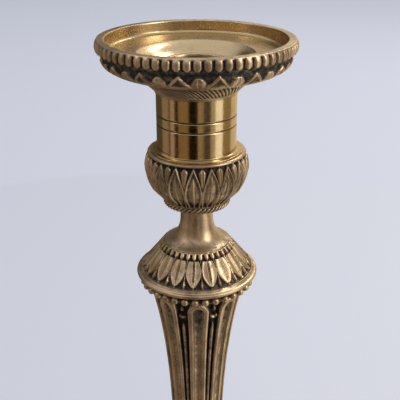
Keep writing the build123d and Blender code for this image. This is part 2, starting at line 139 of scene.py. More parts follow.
# %% [markdown]
# ## From a section to a mesh
# The grid wraps round the axis, and the section closes on itself, so the surface has no seam.
# Where a piece is solid through the axis its section starts and ends there, and each end is
# one vertex with a fan of triangles. Ornament moves a grid point along the section's own
# normal. Modelling each leaf by hand or with a displacement texture would also work; a
# formula stays exact however fine the grid is.


# %% Grid helpers
def assemble(stretches, carved=None):
    """One section from its stretches, and a column that is true on the carved one's rows."""
    section = np.vstack(stretches)
    owner = np.concatenate([[i] * len(part) for i, part in enumerate(stretches)])
    return section, (owner == carved)[:, None]


def revolve(section, columns, relief=None, where=1.0):
    """Carry a section round the axis: (r, z) at angle a goes to (r sin a, -r cos a, z).

    The angle is measured from the front, towards the right. The relief, in millimetres, is
    a function of (r, z, a) and moves the point along the outline's outward normal, on the
    rows where it applies.
    """
    angle = np.arange(columns) * (2 * math.pi / columns)
    solid = section[0, 0] == 0
    if solid:
        tangent = np.gradient(section, axis=0)
    else:
        tangent = np.roll(section, -1, axis=0) - np.roll(section, 1, axis=0)
    tangent /= np.linalg.norm(tangent, axis=1)[:, None]
    r, z = section[:, :1], section[:, 1:]
    height = np.zeros((len(section), columns))
    if relief is not None:
        height = height + relief(r, z, angle) * where
    far = r + tangent[:, 1:] * height
    level = z - tangent[:, :1] * height
    points = np.stack([far * np.sin(angle), -far * np.cos(angle), level + 0 * angle], axis=-1)
    return points * MM, height


def grid_faces(rows, columns, wrap):
    """Quads of a grid that wraps along its columns, and along its rows too where asked."""
    i = np.arange(rows if wrap else rows - 1)[:, None]
    j = np.arange(columns)[None, :]
    up, on = (i + 1) % rows, (j + 1) % columns
    corners = [i * columns + j, i * columns + on, up * columns + on, up * columns + j]
    return np.stack([c + 0 * j + 0 * i for c in corners], axis=-1).reshape(-1, 4)


def capped_faces(rings, columns):
    """Faces of rings of points between two single end points, numbered from one end."""
    j = np.arange(columns)
    on = (j + 1) % columns
    last = 1 + rings * columns
    top = last - columns
    first_fan = np.column_stack([0 * j, 1 + on, 1 + j])
    last_fan = np.column_stack([top + j, top + on, 0 * j + last])
    body = grid_faces(rings, columns, wrap=False) + 1
    return body.tolist() + first_fan.tolist() + last_fan.tolist()


def smooth_mesh(name, points, faces, marks):
    """A smooth-shaded mesh whose points carry patina and painted shade as a float attribute."""
    mesh = bpy.data.meshes.new(name)
    mesh.from_pydata(points, [], faces)
    mesh.polygons.foreach_set("use_smooth", np.ones(len(faces), bool))
    layer = mesh.attributes.new("grime_and_shade", "FLOAT", "POINT")
    layer.data.foreach_set("value", marks.astype(np.float32))
    mesh.update()
    return mesh


def placed(name, data):
    """An object for the data, in the scene and at the origin."""
    made = bpy.data.objects.new(name, data)
    bpy.context.scene.collection.objects.link(made)
    return made


def surface(name, points, marks):
    """A mesh object from a grid of points, with its patina and painted shade from a number or an array.
    """
    rows, columns = points.shape[:2]
    solid = np.allclose(points[0, :, :2], 0) and np.allclose(points[-1, :, :2], 0)
    marks = marks + 0 * points[..., 0]
    if solid:
        faces = capped_faces(rows - 2, columns)
        marks = np.concatenate([marks[0, :1], marks[1:-1].ravel(), marks[-1, :1]])
        points = np.concatenate([points[0, :1], points[1:-1].reshape(-1, 3), points[-1, :1]])
    else:
        faces = grid_faces(rows, columns, wrap=True).tolist()
    return placed(name, smooth_mesh(name, points.reshape(-1, 3), faces, marks.ravel()))


# %% [markdown]
# ## Shapes that ornament is made of
# Chased ornament repeats round the axis, so most of it is written for one motif and measured
# from that motif's own centre line. A soft step stands for every edge, because a casting has
# no perfectly sharp ones. Grime and oxide settle in the low places, and hands and polish keep
# the high ones bright, so the same height map says how dark the metal is.


# %% Ornament helpers
def soft_step(low, high, value):
    """0 below low, 1 above high, and the curve 3t^2 - 2t^3 between."""
    t = np.clip((value - low) / (high - low), 0, 1)
    return t * t * (3 - 2 * t)


def bump(value, centre, half_width, edge):
    """1 within half_width of the centre, falling softly to 0 over the edge."""
    return 1 - soft_step(half_width - edge, half_width, np.abs(value - centre))


def from_motif(angle, count, first=0.0):
    """Degrees from the nearest of count evenly spaced centre lines, the first one at first."""
    pitch = 360 / count
    return (np.degrees(angle) - first + pitch / 2) % pitch - pitch / 2


def arch(value, half_width):
    """A round section: 1 in the middle and 0 at the half width and beyond."""
    share = np.clip(np.abs(value) / np.maximum(half_width, 1e-6), 0, 1)
    return np.sqrt(1 - share**2)


def blurred(height, rows, columns):
    """The height smoothed by a Gaussian of so many rows and columns, both ways round."""
    across = np.fft.fftfreq(height.shape[0])[:, None] * rows
    along = np.fft.fftfreq(height.shape[1])[None, :] * columns
    keep = np.exp(-2 * math.pi**2 * (across**2 + along**2))
    return np.real(np.fft.ifft2(np.fft.fft2(height) * keep))


def grime_and_shade(height, deep, reach=5):
    """0 on rubbed crests and 1 in recesses: how low a point is, and how far below its neighbours. This
    is patina; several pieces add painted shade to it.
    """
    low = np.clip(-height / deep, 0, 1)
    hollow = (blurred(height, reach, reach) - height) / deep
    return np.clip(0.7 * low + 0.8 * hollow, 0, 1)


print("a soft step half way is", soft_step(0, 1, 0.5))

# %% [markdown]
# ## Materials: node helper
# Each material is a small graph. Writing `node(...)` once for every box keeps a graph
# readable: its kind, its settings, and then what goes into each socket, which is either a
# number or another box's output.


# %% Node helper
def feed(tree, made, inputs):
    """Set a node's sockets, by name or number, to values or to other sockets."""
    for name, value in inputs.items():
        if isinstance(value, bpy.types.NodeSocket):
            tree.links.new(value, made.inputs[name])
        else:
            made.inputs[name].default_value = value


def node(tree, kind, settings=None, inputs=None):
    """A new shader node with its settings and inputs."""
    made = tree.nodes.new("ShaderNode" + kind)
    for name, value in (settings or {}).items():
        setattr(made, name, value)
    feed(tree, made, inputs or {})
    return made


def noise(tree, place, scale, detail=3.0, rough=0.55):
    """Cloudy noise between 0 and 1, its scale in blobs per metre."""
    settings = {"Vector": place, "Scale": scale, "Detail": detail, "Roughness": rough}
    return node(tree, "TexNoise", None, settings).outputs[0]


def spread(tree, value, low, high, out_low=0.0, out_high=1.0):
    """A value between low and high mapped smoothly to another range, and held there outside."""
    inputs = {"Value": value, 1: low, 2: high, 3: out_low, 4: out_high}
    settings = {"interpolation_type": "SMOOTHSTEP"}
    return node(tree, "MapRange", settings, inputs).outputs[0]


def maths(tree, operation, first, second, third=None):
    """One sum of two values, or of three for MULTIPLY_ADD."""
    inputs = {0: first, 1: second}
    if third is not None:
        inputs[2] = third
    return node(tree, "Math", {"operation": operation}, inputs).outputs[0]


def mixed(tree, share, first, second):
    """Two colours mixed by a share."""
    made = node(tree, "Mix", {"data_type": "RGBA"}, {0: share, 6: first, 7: second})
    return made.outputs[2]


def colour(red, green, blue):
    """A colour with full alpha."""
    return (red, green, blue, 1.0)


def empty_tree(owner):
    """The cleared node tree of a material or world."""
    owner.use_nodes = True
    owner.node_tree.nodes.clear()
    return owner.node_tree


def new_material(name):
    """An empty node material and its Principled shader, already joined to the output."""
    material = bpy.data.materials.new(name)
    tree = empty_tree(material)
    shader = node(tree, "BsdfPrincipled")
    node(tree, "OutputMaterial", None, {"Surface": shader.outputs[0]})
    return material, tree, shader


# %% [markdown]
# ## Aged cast brass
# Old cast brass is a warm metal under a brown skin. The skin is thin on crests, where it has
# been rubbed, and nearly black in recesses, where it has crusted and shines less like metal.
# The mesh carries that as an attribute, and with it shade painted near joints and under
# overhangs, in the same near-black. Noise of three sizes breaks it up: clouds of tarnish,
# mottling, and the fine grain that sand leaves on a casting.


# %% Aged brass
def aged_brass(name, bright, tarnished, crust_and_shade, shine):
    """Brass with a brown skin that thickens wherever the mesh's attribute says so; the attribute also
    paints shade near joints.
    """
    material, tree, shader = new_material(name)
    place = node(tree, "TexCoord").outputs["Object"]
    # The attribute holds patina, and also shade painted near joints, under overhangs and on the beads'
    # hidden sides.
    surface_marks = node(tree, "Attribute", {"attribute_name": "grime_and_shade"}).outputs["Fac"]
    clouds = noise(tree, place, 110, 4)
    mottle = noise(tree, place, 520, 4, 0.6)
    grain = noise(tree, place, 2600, 2)
    broken = maths(tree, "MULTIPLY_ADD", spread(tree, mottle, 0.3, 0.7), 0.34, -0.17)
    dirt_and_shade = spread(tree, maths(tree, "ADD", surface_marks, broken), 0.12, 0.86)
    skin = mixed(tree, spread(tree, clouds, 0.36, 0.66), bright, tarnished)
    red = noise(tree, node(tree, "Mapping", None, {0: place, 1: (0.3, 0.1, 0.2)}).outputs[0], 170)
    skin = mixed(tree, spread(tree, red, 0.52, 0.74, 0, 0.5), skin, colour(0.42, 0.215, 0.12))
    matt = maths(tree, "MULTIPLY_ADD", spread(tree, mottle, 0.25, 0.75), 0.16, shine - 0.08)
    rub = node(tree, "Bump", None, {"Strength": 0.35, "Distance": 0.00010, "Height": mottle})
    sand = {"Strength": 0.25, "Distance": 0.00004, "Height": grain, "Normal": rub.outputs[0]}
    inputs = {
        "Base Color": mixed(tree, dirt_and_shade, skin, crust_and_shade),
        "Metallic": spread(tree, dirt_and_shade, 0.1, 1.0, 0.86, 0.45),
        "Roughness": maths(tree, "ADD", matt, spread(tree, dirt_and_shade, 0.0, 1.0, 0.0, 0.28)),
        "Normal": node(tree, "Bump", None, sand).outputs[0],
    }
    feed(tree, shader, inputs)
    return material


cast_brass = aged_brass(
    "cast_brass_aged",
    bright=colour(0.62, 0.46, 0.275),
    tarnished=colour(0.37, 0.27, 0.16),
    # Near black: the crust in recesses, and the colour of the painted shade.
    crust_and_shade=colour(0.016, 0.012, 0.009),
    shine=0.33,
)
print("made", cast_brass.name)

# %% [markdown]
# ## Polished turned brass
# The socket, the pan's inside and the nozzle came off a lathe and were buffed. They reflect
# clearly, but through very fine rings that the tool and the cloth left, so a reflection is
# smeared up and down. Tarnish lies on them in thin clouds and freckles. The rings are noise
# that is stretched flat: hardly any change round the piece, and many changes up it. On the
# pan's floor the rings run round the axis, so there the noise reads the radius instead.


# %% Polished brass
def turned_brass(name, clean, cloudy, shine, rings_by_radius=False):
    """Buffed brass with fine rings round the axis, clouds of tarnish and small freckles."""
    material, tree, shader = new_material(name)
    place = node(tree, "TexCoord").outputs["Object"]
    apart = node(tree, "SeparateXYZ", None, {0: place})
    surface_marks = node(tree, "Attribute", {"attribute_name": "grime_and_shade"}).outputs["Fac"]
    if rings_by_radius:
        flat = node(tree, "CombineXYZ", None, {0: apart.outputs[0], 1: apart.outputs[1]})
        across = node(tree, "VectorMath", {"operation": "LENGTH"}, {0: flat.outputs[0]}).outputs[1]
    else:
        across = apart.outputs[2]
    line = node(tree, "CombineXYZ", None, {0: across}).outputs[0]
    fine_rings = noise(tree, line, 5200, 2)
    wide_rings = noise(tree, line, 700, 2)
    clouds = noise(tree, place, 95, 5, 0.6)
    mottle = noise(tree, place, 700, 4, 0.62)
    freckles = spread(tree, noise(tree, place, 1500, 2), 0.69, 0.76)
    # Tarnish clouds plus the mesh attribute, which holds patina and, inside the nozzle's bore, painted
    # shade.
    blotch = maths(tree, "ADD", spread(tree, clouds, 0.48, 0.75, 0, 0.42), surface_marks)
    skin = mixed(tree, blotch, clean, cloudy)
    skin = mixed(tree, maths(tree, "MULTIPLY", freckles, 0.55), skin, colour(0.07, 0.045, 0.025))
    # Near black where the attribute is high: patina in the socket's grooves, painted shade inside the
    # nozzle's bore.
    deep = spread(tree, surface_marks, 0.55, 1.0)
    patchy = maths(tree, "MULTIPLY_ADD", spread(tree, mottle, 0.3, 0.7), 0.06, shine)
    ringed = maths(tree, "ADD", patchy, spread(tree, wide_rings, 0.3, 0.7, 0, 0.05))
    cut = node(tree, "Bump", None, {"Strength": 0.3, "Distance": 0.00001, "Height": fine_rings})
    wave = {"Strength": 0.25, "Distance": 0.00003, "Height": wide_rings, "Normal": cut.outputs[0]}
    waved = node(tree, "Bump", None, wave).outputs[0]
    dent = {"Strength": 0.1, "Distance": 0.00003, "Height": mottle, "Normal": waved}
    inputs = {
        "Base Color": mixed(tree, deep, skin, colour(0.03, 0.02, 0.012)),
        "Metallic": 1.0,
        "Roughness": maths(tree, "ADD", ringed, spread(tree, blotch, 0.0, 1.0, 0.0, 0.16)),
        "Normal": node(tree, "Bump", None, dent).outputs[0],
    }
    feed(tree, shader, inputs)
    return material


CLEAN, CLOUDY = colour(0.60, 0.45, 0.24), colour(0.34, 0.24, 0.13)
tube_brass = turned_brass("turned_brass_tube", CLEAN, CLOUDY, 0.11)
dish_brass = turned_brass("turned_brass_dish", CLEAN, CLOUDY, 0.2, rings_by_radius=True)
print("made", tube_brass.name, "and", dish_brass.name)

# %% [markdown]
# ## Felt, blackened iron and steel
# Three plainer finishes. Felt is wool fibres pressed flat: matt, a little uneven in colour,
# with a sheen from loose fibres. The clamp plate is iron, blackened and a little rusty. The
# rod, nut and washers are steel with a dull zinc coat.


# %% Felt and inner metals
def felt_green():
    """Pressed wool: two sizes of fibre noise for the colour and the nap, and a soft sheen."""
    material, tree, shader = new_material("felt_green")
    place = node(tree, "TexCoord").outputs["Object"]
    fibres = noise(tree, place, 2400, 4, 0.7)
    patches = noise(tree, place, 150, 2)
    dark_wool, pale_wool = colour(0.012, 0.05, 0.022), colour(0.035, 0.12, 0.055)
    wool = mixed(tree, spread(tree, fibres, 0.3, 0.7), dark_wool, pale_wool)
    wool = mixed(tree, spread(tree, patches, 0.4, 0.7, 0, 0.35), wool, colour(0.05, 0.10, 0.05))
    nap = node(tree, "Bump", None, {"Strength": 0.8, "Distance": 0.00015, "Height": fibres})
    inputs = {
        "Base Color": wool,
        "Roughness": spread(tree, fibres, 0.2, 0.8, 0.85, 1.0),
        "Sheen Weight": 0.4,
        "Normal": nap.outputs[0],
    }
    feed(tree, shader, inputs)
    return material


def inner_metal(name, base, blotch, shine, stain_from):
    """A plain metal with stains where cloudy noise passes a level, and a scratched surface."""
    material, tree, shader = new_material(name)
    place = node(tree, "TexCoord").outputs["Object"]
    clouds = noise(tree, place, 260, 5, 0.65)
    long_grain = node(tree, "Mapping", None, {0: place, 3: (1, 9, 1)}).outputs[0]
    scratches = noise(tree, long_grain, 900, 3)
    stained = spread(tree, clouds, stain_from, stain_from + 0.16)
    dull = spread(tree, stained, 0, 1, shine, 0.8)
    surface_marks = node(tree, "Bump", None, {"Strength": 0.4, "Distance": 0.00006, "Height": scratches})
    inputs = {
        "Base Color": mixed(tree, stained, base, blotch),
        "Metallic": spread(tree, stained, 0, 1, 1.0, 0.3),
        "Roughness": maths(tree, "ADD", dull, spread(tree, scratches, 0.3, 0.7, 0, 0.1)),
        "Normal": surface_marks.outputs[0],
    }
    feed(tree, shader, inputs)
    return material


felt = felt_green()
iron = inner_metal("iron_blackened", colour(0.05, 0.05, 0.052), colour(0.11, 0.045, 0.02), 0.45, 0.56)
steel = inner_metal("steel_zinc_coated", colour(0.55, 0.56, 0.57), colour(0.24, 0.22, 0.2), 0.3, 0.6)
print("made", felt.name, iron.name, steel.name)

# %% [markdown]
# ## Handing a piece to the frame
# Every new piece stands for a CAD node, rides on that node's body and gets its finish. In
# the parts list the socket and the nozzle are polished brass, the pad is green felt and the
# other pieces here are aged brass, the pan too, though its inside is polished.


# %% Piece helper
def hand_over(piece, node_name, material, body="stick"):
    """Give the piece its finish, and let it stand for a CAD node and move with its body."""
    piece.data.materials.append(material)
    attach(piece, body)
    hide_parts(node_name)
    print(piece.name, len(piece.data.vertices), "vertices")
    return piece


# %% [markdown]
# ## Drip pan
# The pan is one heavy casting. Its inside was turned and polished: an upright wall, a shallow
# ledge and a well that slopes down to the nozzle. Its rim has a flat top, and round the rim's
# edge runs a row of short tongues with deep dark gaps between them. Underneath is a frieze of
# raised chevrons with small leaf tips between them. Separate tongues could be made with an
# array modifier, but cast in one piece they run into the rim, so they are relief here.

# %% Drip pan section and relief
pan_r, pan_low, pan_top = limits("drip_pan")
collar_r, collar_low, collar_top = limits("socket_collar")
lip_r, nozzle_low, nozzle_top = limits("candle_nozzle")
HOLE_R = lip_r - 1.04
WELL_TOP = pan_top - 5.2
WELL_FLOOR = nozzle_top - 0.96

RIM_LOW = 5.6  # the rim's lower edge, below its top
TONGUES = 66
TONGUE_LENGTH = 4.0
TONGUE_DEPTH = 0.9
CHEVRONS = 16
FRIEZE_DEPTH = 0.6
PAN_EDGE, PAN_UNDER = 2, 1  # which stretches of the section are carved

pan_stretches = chain(
    (HOLE_R, pan_low),
    (5, (collar_r, pan_low)),
    (
        64,
        *inset(pan_r, pan_top, (12.1, 12.4), (8.1, 11.2), (4.6, 9.8)),
        *inset(pan_r, pan_top, (2.6, 8.4), (1.8, 7.0), (1.6, RIM_LOW)),
    ),
    ((34, 0.05), *inset(pan_r, pan_top, (0.8, 4.4), (0.1, 3.0), (0, 2.2), (0.3, 0.8), (0.8, 0))),
    ((7, 0.15), *inset(pan_r, pan_top, (3.4, 0))),
    (9, *inset(pan_r, pan_top, (3.55, 2.0), (3.7, 3.7))),
    (3, *inset(pan_r, pan_top, (4.3, 4.35))),
    (10, (lip_r + 7.1, WELL_TOP)),
    (16, (lip_r + 4.9, WELL_TOP - 1.0), (lip_r + 2.4, WELL_FLOOR + 1.2), (lip_r + 0.1, WELL_FLOOR)),
    (3, (HOLE_R, WELL_FLOOR)),
    (3, (HOLE_R, pan_low)),
)
pan_section, pan_edge = assemble(pan_stretches, PAN_EDGE)
pan_under = assemble(pan_stretches, PAN_UNDER)[1]


def tongues(r, z, angle):
    """Short tongues round the rim's edge, and sunk ground below their round ends.

    A tongue is a flat arch across its width, and its width shrinks over its lower end.
    """
    down = (pan_top - z) / TONGUE_LENGTH
    x = np.radians(from_motif(angle, TONGUES, -1.9 + 180 / TONGUES)) * pan_r
    half = 1.22 * np.sqrt(np.clip(1 - (np.clip(down - 0.6, 0, None) / 0.4) ** 3, 0, 1))
    tongue = arch(x, half) ** 0.4
    return -TONGUE_DEPTH * (1 - tongue) * soft_step(0.04, 0.16, down)


def chevrons(r, z, angle):
    """Raised chevrons and leaf tips on sunk ground, by the way in from the rim's lower edge.

    A chevron's half width grows from its apex as the way in to the power 0.8. Its legs are
    a band inside that width, and the ground shows between them. A leaf tip widens faster,
    as a square root.
    """
    way = np.hypot(pan_r - 1.6 - r, pan_top - RIM_LOW - z)
    off = np.abs(from_motif(angle, CHEVRONS, 1.4 + 180 / CHEVRONS))
    half = 7.2 * np.clip((way - 0.1) / 4.8, 0, None) ** 0.8
    leg = soft_step(-0.2, 0.35, half - off) * (1 - 0.9 * soft_step(1.6, 2.4, half - off))
    tip = np.abs(from_motif(angle, CHEVRONS, 1.4))
    tip_half = 4.1 * np.sqrt(np.clip((way - 0.6) / 1.9, 0, 1))
    leaf = arch(tip, tip_half) ** 0.6 * (1 - 0.4 * arch(tip, 0.7))
    ornament = np.clip(np.maximum(leg, leaf), 0, 1) * (way > 0.1)
    seat = soft_step(5.0, 5.5, way)
    depth = FRIEZE_DEPTH + (TONGUE_DEPTH - FRIEZE_DEPTH) * (1 - soft_step(0, 1.2, way))
    return -depth * (1 - np.maximum(ornament, seat))


def pan_relief(r, z, angle):
    """The rim's tongues and the frieze, each on its own stretch of the outline."""
    rim = np.where(pan_edge, tongues(r, z, angle), 0)
    return rim + np.where(pan_under, chevrons(r, z, angle), 0)


# %% Drip pan mesh
def drip_pan():
    """The pan's grid, with the polished inside as its second material."""
    columns = TONGUES * 11
    points, height = revolve(pan_section, columns, pan_relief)
    radius, level = pan_section[:, :1], pan_section[:, 1:]
    marks = np.where(pan_edge, grime_and_shade(height, 0.9, 3), 0.3)
    marks = np.where(pan_under, 0.82 * np.clip(-height / FRIEZE_DEPTH, 0, 1) ** 1.3, marks)
    inside = (radius < pan_r - 3.3) & (level > WELL_FLOOR - 0.2) & ~pan_under
    corner = bump(level, pan_top - 4.2, 0.7, 0.6) * (radius > pan_r - 6)
    marks = np.where(inside, 0.3 * corner, np.clip(marks, 0, 1))
    piece = surface("pan_casting", points, marks)
    hand_over(piece, "drip_pan", cast_brass, "pan")
    piece.data.materials.append(dish_brass)
    polished = np.repeat(inside[:, 0], columns)
    piece.data.polygons.foreach_set("material_index", polished.astype(np.int32))
    return piece


drip_pan()

# %% [markdown]
# ## Candle nozzle
# A thin turned tube that holds the candle. Only its lip shows, a bright ring at the bottom of
# the well, until it is lifted out.


# %% Candle nozzle
def candle_nozzle():
    """A plain tube with a lip, open at both ends."""
    bore_r, tube_r = lip_r - 2.2, lip_r - 1.1
    lip_low = nozzle_top - 0.9
    stretches = chain(
        (bore_r, nozzle_low),
        (3, (tube_r, nozzle_low)),
        (24, (tube_r, lip_low)),
        (3, (lip_r, lip_low)),
        (9, (lip_r, lip_low + 0.4), (lip_r - 0.5, nozzle_top), (bore_r, nozzle_top)),
        (24, (bore_r, nozzle_low)),
    )
    section = np.vstack(stretches)
    points = revolve(section, 180)[0]
    level = section[:, 1:]
    # Darker towards the bottom of the tube, and painted shade inside the bore, which turns near black.
    marks = 0.35 * (1 - soft_step(nozzle_low, nozzle_top - 4, level))
    marks = marks + (section[:, :1] < bore_r + 0.05) * (level < nozzle_top - 0.3)
    piece = surface("nozzle_tube", points, marks)
    return hand_over(piece, "candle_nozzle", dish_brass, "nozzle")


candle_nozzle()

# %% [markdown]
# ## Socket and twisted collar
# The socket is the brightest part: a turned tube with two fine grooves and a thin flange.
# The collar round its mouth was rolled with a twisted pattern. A twist is a ripple whose
# phase depends on the height as well as the angle.

# %% Candle socket
mouth = collar_top
COLLAR_WIDTH = 5.4
socket_r = collar_r - COLLAR_WIDTH
flange_r, boss_low = limits("candle_socket")[:2]
GROOVES, GROOVE_DEPTH = (13.4, 16.9), 0.28  # each groove is so far below the mouth
flange_low = limits("urn_cup")[2]


def candle_socket():
    """The tube, its floor and its tapped boss: one section from the axis out and back."""
    bore_r = lip_r - 0.85
    floor, spigot = flange_low + 2.6, flange_low - 1.6
    spigot_r, boss_r, hole_r = flange_r - 2.2, 6.2, 3.02
    hole_top = boss_low + 8.1
    stretches = chain(
        (0.4, hole_top),
        (3, (hole_r, hole_top)),
        (3, (hole_r, boss_low)),
        (3, (boss_r, boss_low)),
        (4, (boss_r, spigot)),
        (4, (spigot_r, spigot)),
        (3, (spigot_r, flange_low)),
        (3, (flange_r, flange_low)),
        ((4, 0.15), (flange_r, flange_low + 0.5)),
        (
            16,
            (socket_r + 0.7, flange_low + 0.55),
            (socket_r + 0.15, flange_low + 0.75),
            (socket_r, flange_low + 1.2),
        ),
        (150, (socket_r, mouth)),
        (4, (bore_r, mouth)),
        (12, (bore_r, floor)),
        (8, (0.4, floor)),
    )
    section = np.vstack([[(0, hole_top)], *stretches, [(0, floor)]])

    def grooves(r, z, angle):
        """Two round-bottomed grooves cut below the mouth."""
        cut = sum(arch(z - (mouth - below), 0.33) for below in GROOVES)
        return -GROOVE_DEPTH * cut * (r > socket_r - 0.05) * (r < socket_r + 0.05)

    points, height = revolve(section, 240, grooves)
    level = section[:, 1:]
    outer = (section[:, :1] > socket_r - 0.1) & (level > flange_low)
    marks = np.where(outer, np.clip(-height / GROOVE_DEPTH, 0, 1) * 0.95, 0.55)
    marks = marks + 0.5 * outer * bump(level, collar_low - 0.2, 0.35, 0.3)
    piece = surface("socket_tube", points, np.clip(marks, 0, 1))
    return hand_over(piece, "candle_socket", tube_brass, "stick")


candle_socket()


# %% Twisted collar
TWISTS, TWIST_DEPTH = 74, 0.25


def socket_collar():
    """A flared ring, rippled so that each ridge leans back as it rises."""
    foot_r, edge = socket_r + 0.45, mouth - 0.35
    middle = (foot_r + 0.38 * (collar_r - foot_r), collar_low + 0.55 + 0.34 * (edge - collar_low))
    stretches = chain(
        (socket_r, collar_low),
        ((3, 0.04), (foot_r, collar_low)),
        (4, (foot_r, collar_low + 0.55)),
        (44, middle, (collar_r, edge)),
        (3, (collar_r, mouth)),
        (4, (socket_r, mouth)),
        (4, (socket_r, collar_low)),
    )
    section, carved = assemble(stretches, carved=2)

    def twist(r, z, angle):
        """Ridges with round crests and sharp valleys, that lean 15 degrees over their height."""
        rise = (z - collar_low - 0.55) / (edge - collar_low - 0.55)
        ridge = 0.5 + 0.5 * np.cos(TWISTS * (angle + np.radians(15) * rise))
        return -TWIST_DEPTH * (1 - ridge**0.8) * soft_step(0.0, 0.1, rise)

    points, height = revolve(section, TWISTS * 14, twist, carved)
    # Painted shadow of the pan: the collar darkens towards its mouth.
    shade = 0.35 * soft_step(collar_low + 2.5, mouth, section[:, 1:])
    marks = np.where(carved, np.clip(1.1 * (-height / TWIST_DEPTH) ** 1.3 + shade, 0, 1), 0.2)
    piece = surface("collar_twisted", points, marks)
    return hand_over(piece, "socket_collar", cast_brass)


socket_collar()

# %% [markdown]
# ## Urn
# A bowl of eighteen pointed leaves. Each leaf has a thin raised outline and a midrib, and is
# hollowed between them; a small bud fills the gap between two tips. The outline of a leaf is
# one function, its half width in degrees at each height, and rim, hollow and ground all
# follow from the distance to it.

# %% Leaf formula
LEAVES = 18
LEAF_TURN = -3.5  # degrees from the front to the nearest leaf's centre line on the urn


def leaf_relief(off, rise, r, half_pitch, tip, depth):
    """Height of one upright leaf, from 0 on its outline's crest down to -depth on the ground.

    off is degrees from the leaf's centre line, rise runs from 0 at its foot to 1 at the top
    of the band, and tip is where it comes to its point. Its half width is most of the pitch
    below, and above a third of the way up it falls as (1 - t^1.75)^0.95. Inside, the leaf is
    hollowed, with a midrib that stops short of the tip.
    """
    t = np.clip((rise - 0.34) / (tip - 0.34), 0, 1)
    half = half_pitch * (0.84 + 0.16 * soft_step(0, 0.36, rise)) * (1 - t**1.75) ** 0.95
    inside = np.radians(half - np.abs(off)) * r
    hollow = soft_step(0.22, 0.75, inside) * (1 - 0.3 * soft_step(1.0, 2.2, inside))
    rib = bump(np.radians(off) * r, 0, 0.42, 0.36) * (1 - soft_step(tip - 0.30, tip - 0.14, rise))
    leaf = -depth * 0.55 * hollow * (1 - 0.8 * rib)
    return np.where(inside > 0, leaf, -depth * soft_step(0.0, 0.22, -inside))


# %% Urn bowl
urn_r, urn_low, urn_top = limits("urn_cup")


def urn_cup():
    """The bowl's section, with leaves on its outside under a thin rounded lip."""
    foot_r, lip_edge, floor = urn_r - 6.4, urn_r - 2.1, urn_low + 3.4
    low_side = inset(urn_r, urn_top, (5.3, 17.0), (4.1, 15.8), (2.5, 14.0), (1.6, 12.3), (0.7, 10.0))
    high_side = inset(urn_r, urn_top, (0.36, 8.2), (0, 6.2), (0.2, 4.2), (0.65, 2.3), (1.2, 0.75))
    stretches = chain(
        (SEAT, urn_low),
        (4, (foot_r, urn_low)),
        ((100, 0.05), *low_side, *high_side),
        ((9, 0.02), *inset(urn_r, urn_top, (1.3, 0.4), (1.6, 0.1), (2.1, 0))),
        (4, (lip_edge - 2.4, urn_top)),
        (8, (urn_r - 2.4, urn_top - 6.1), (foot_r, floor)),
        (3, (SEAT, floor)),
        (3, (SEAT, urn_low)),
    )
    section, carved = assemble(stretches, carved=1)
    depth = 1.15

    def leaves(r, z, angle):
        """Leaves, and a bud between every two tips."""
        rise = (z - urn_low) / (urn_top - 0.75 - urn_low)
        leaf = leaf_relief(from_motif(angle, LEAVES, LEAF_TURN), rise, r, 180 / LEAVES, 0.97, depth)
        bud_off = from_motif(angle, LEAVES, LEAF_TURN + 180 / LEAVES)
        bud_long = np.clip((rise - 0.52) / 0.36, 0, 1) ** 0.75
        bud_half = 4.3 * bud_long * np.sqrt(np.clip((0.965 - rise) / 0.07, 0, 1))
        bud = arch(bud_off, bud_half) ** 0.7 - 0.3 * arch(bud_off, 0.7)
        shape = np.maximum(leaf, -depth * (1 - np.clip(bud, 0, 1)))
        return shape * soft_step(0.015, 0.05, rise) * (1 - soft_step(0.985, 1.0, rise))

    points, height = revolve(section, LEAVES * 40, leaves, carved)
    # Painted shade: the bowl darkens over its lowest 5 mm, down to the rope ring.
    foot_shade = (1 - soft_step(urn_low, urn_low + 5.0, section[:, 1:])) * 0.4
    marks = np.where(carved, np.clip(grime_and_shade(height, 0.95, 4) + foot_shade, 0, 1), 0.1)
    piece = surface("urn_leaf_bowl", points, marks)
    return hand_over(piece, "urn_cup", cast_brass)


urn_cup()

# %% [markdown]
# ## Twisted rings
# Small rope rings hide the joins under the urn and under the shaft. A rope is several strands
# laid side by side at a slant, so a ring of them is a round section with slanting ripples.


# %% Rope ring
def rope_ring(name, node_name, strands, hole_r):
    """A ring whose outer half is round and rippled, its ridges leaning over its own height."""
    outer_r, low, high = limits(node_name)
    edge = (high - low) / 2
    face_r = outer_r - edge
    turn = np.linspace(-math.pi / 2, math.pi / 2, 19)[1:-1]
    round_edge = np.column_stack([face_r + edge * np.cos(turn), (low + high) / 2 + edge * np.sin(turn)])
    section = np.vstack(
        [
            stretch([(hole_r, low), (face_r, low)], 4),
            round_edge,
            stretch([(face_r, high), (hole_r, high)], 4),
            stretch([(hole_r, high), (hole_r, low)], 3),
        ]
    )

    def strand(r, z, angle):
        """Round crests and sharp valleys that lean by a strand and a half."""
        lean = (z - low) / (high - low) * 3 * math.pi / strands
        valley = 1 - np.abs(np.sin(strands / 2 * (angle - lean)))
        return -0.42 * valley * soft_step(face_r - 0.3, face_r + 0.5, r)

    points, height = revolve(section, strands * 12, strand)
    marks = np.clip(grime_and_shade(height, 0.36, 3) + 0.1, 0, 1)
    piece = surface(name, points, marks)
    return hand_over(piece, node_name, cast_brass)


rope_ring("urn_rope_ring", "urn_ring", 44, SEAT)
rope_ring("shaft_rope_ring", "shaft_ring", 44, SEAT)

# %% [markdown]
# ## Neck
# Plain turned brass that has never been buffed since: waisted under the urn, and flared below
# to a sharp edge over the capital.


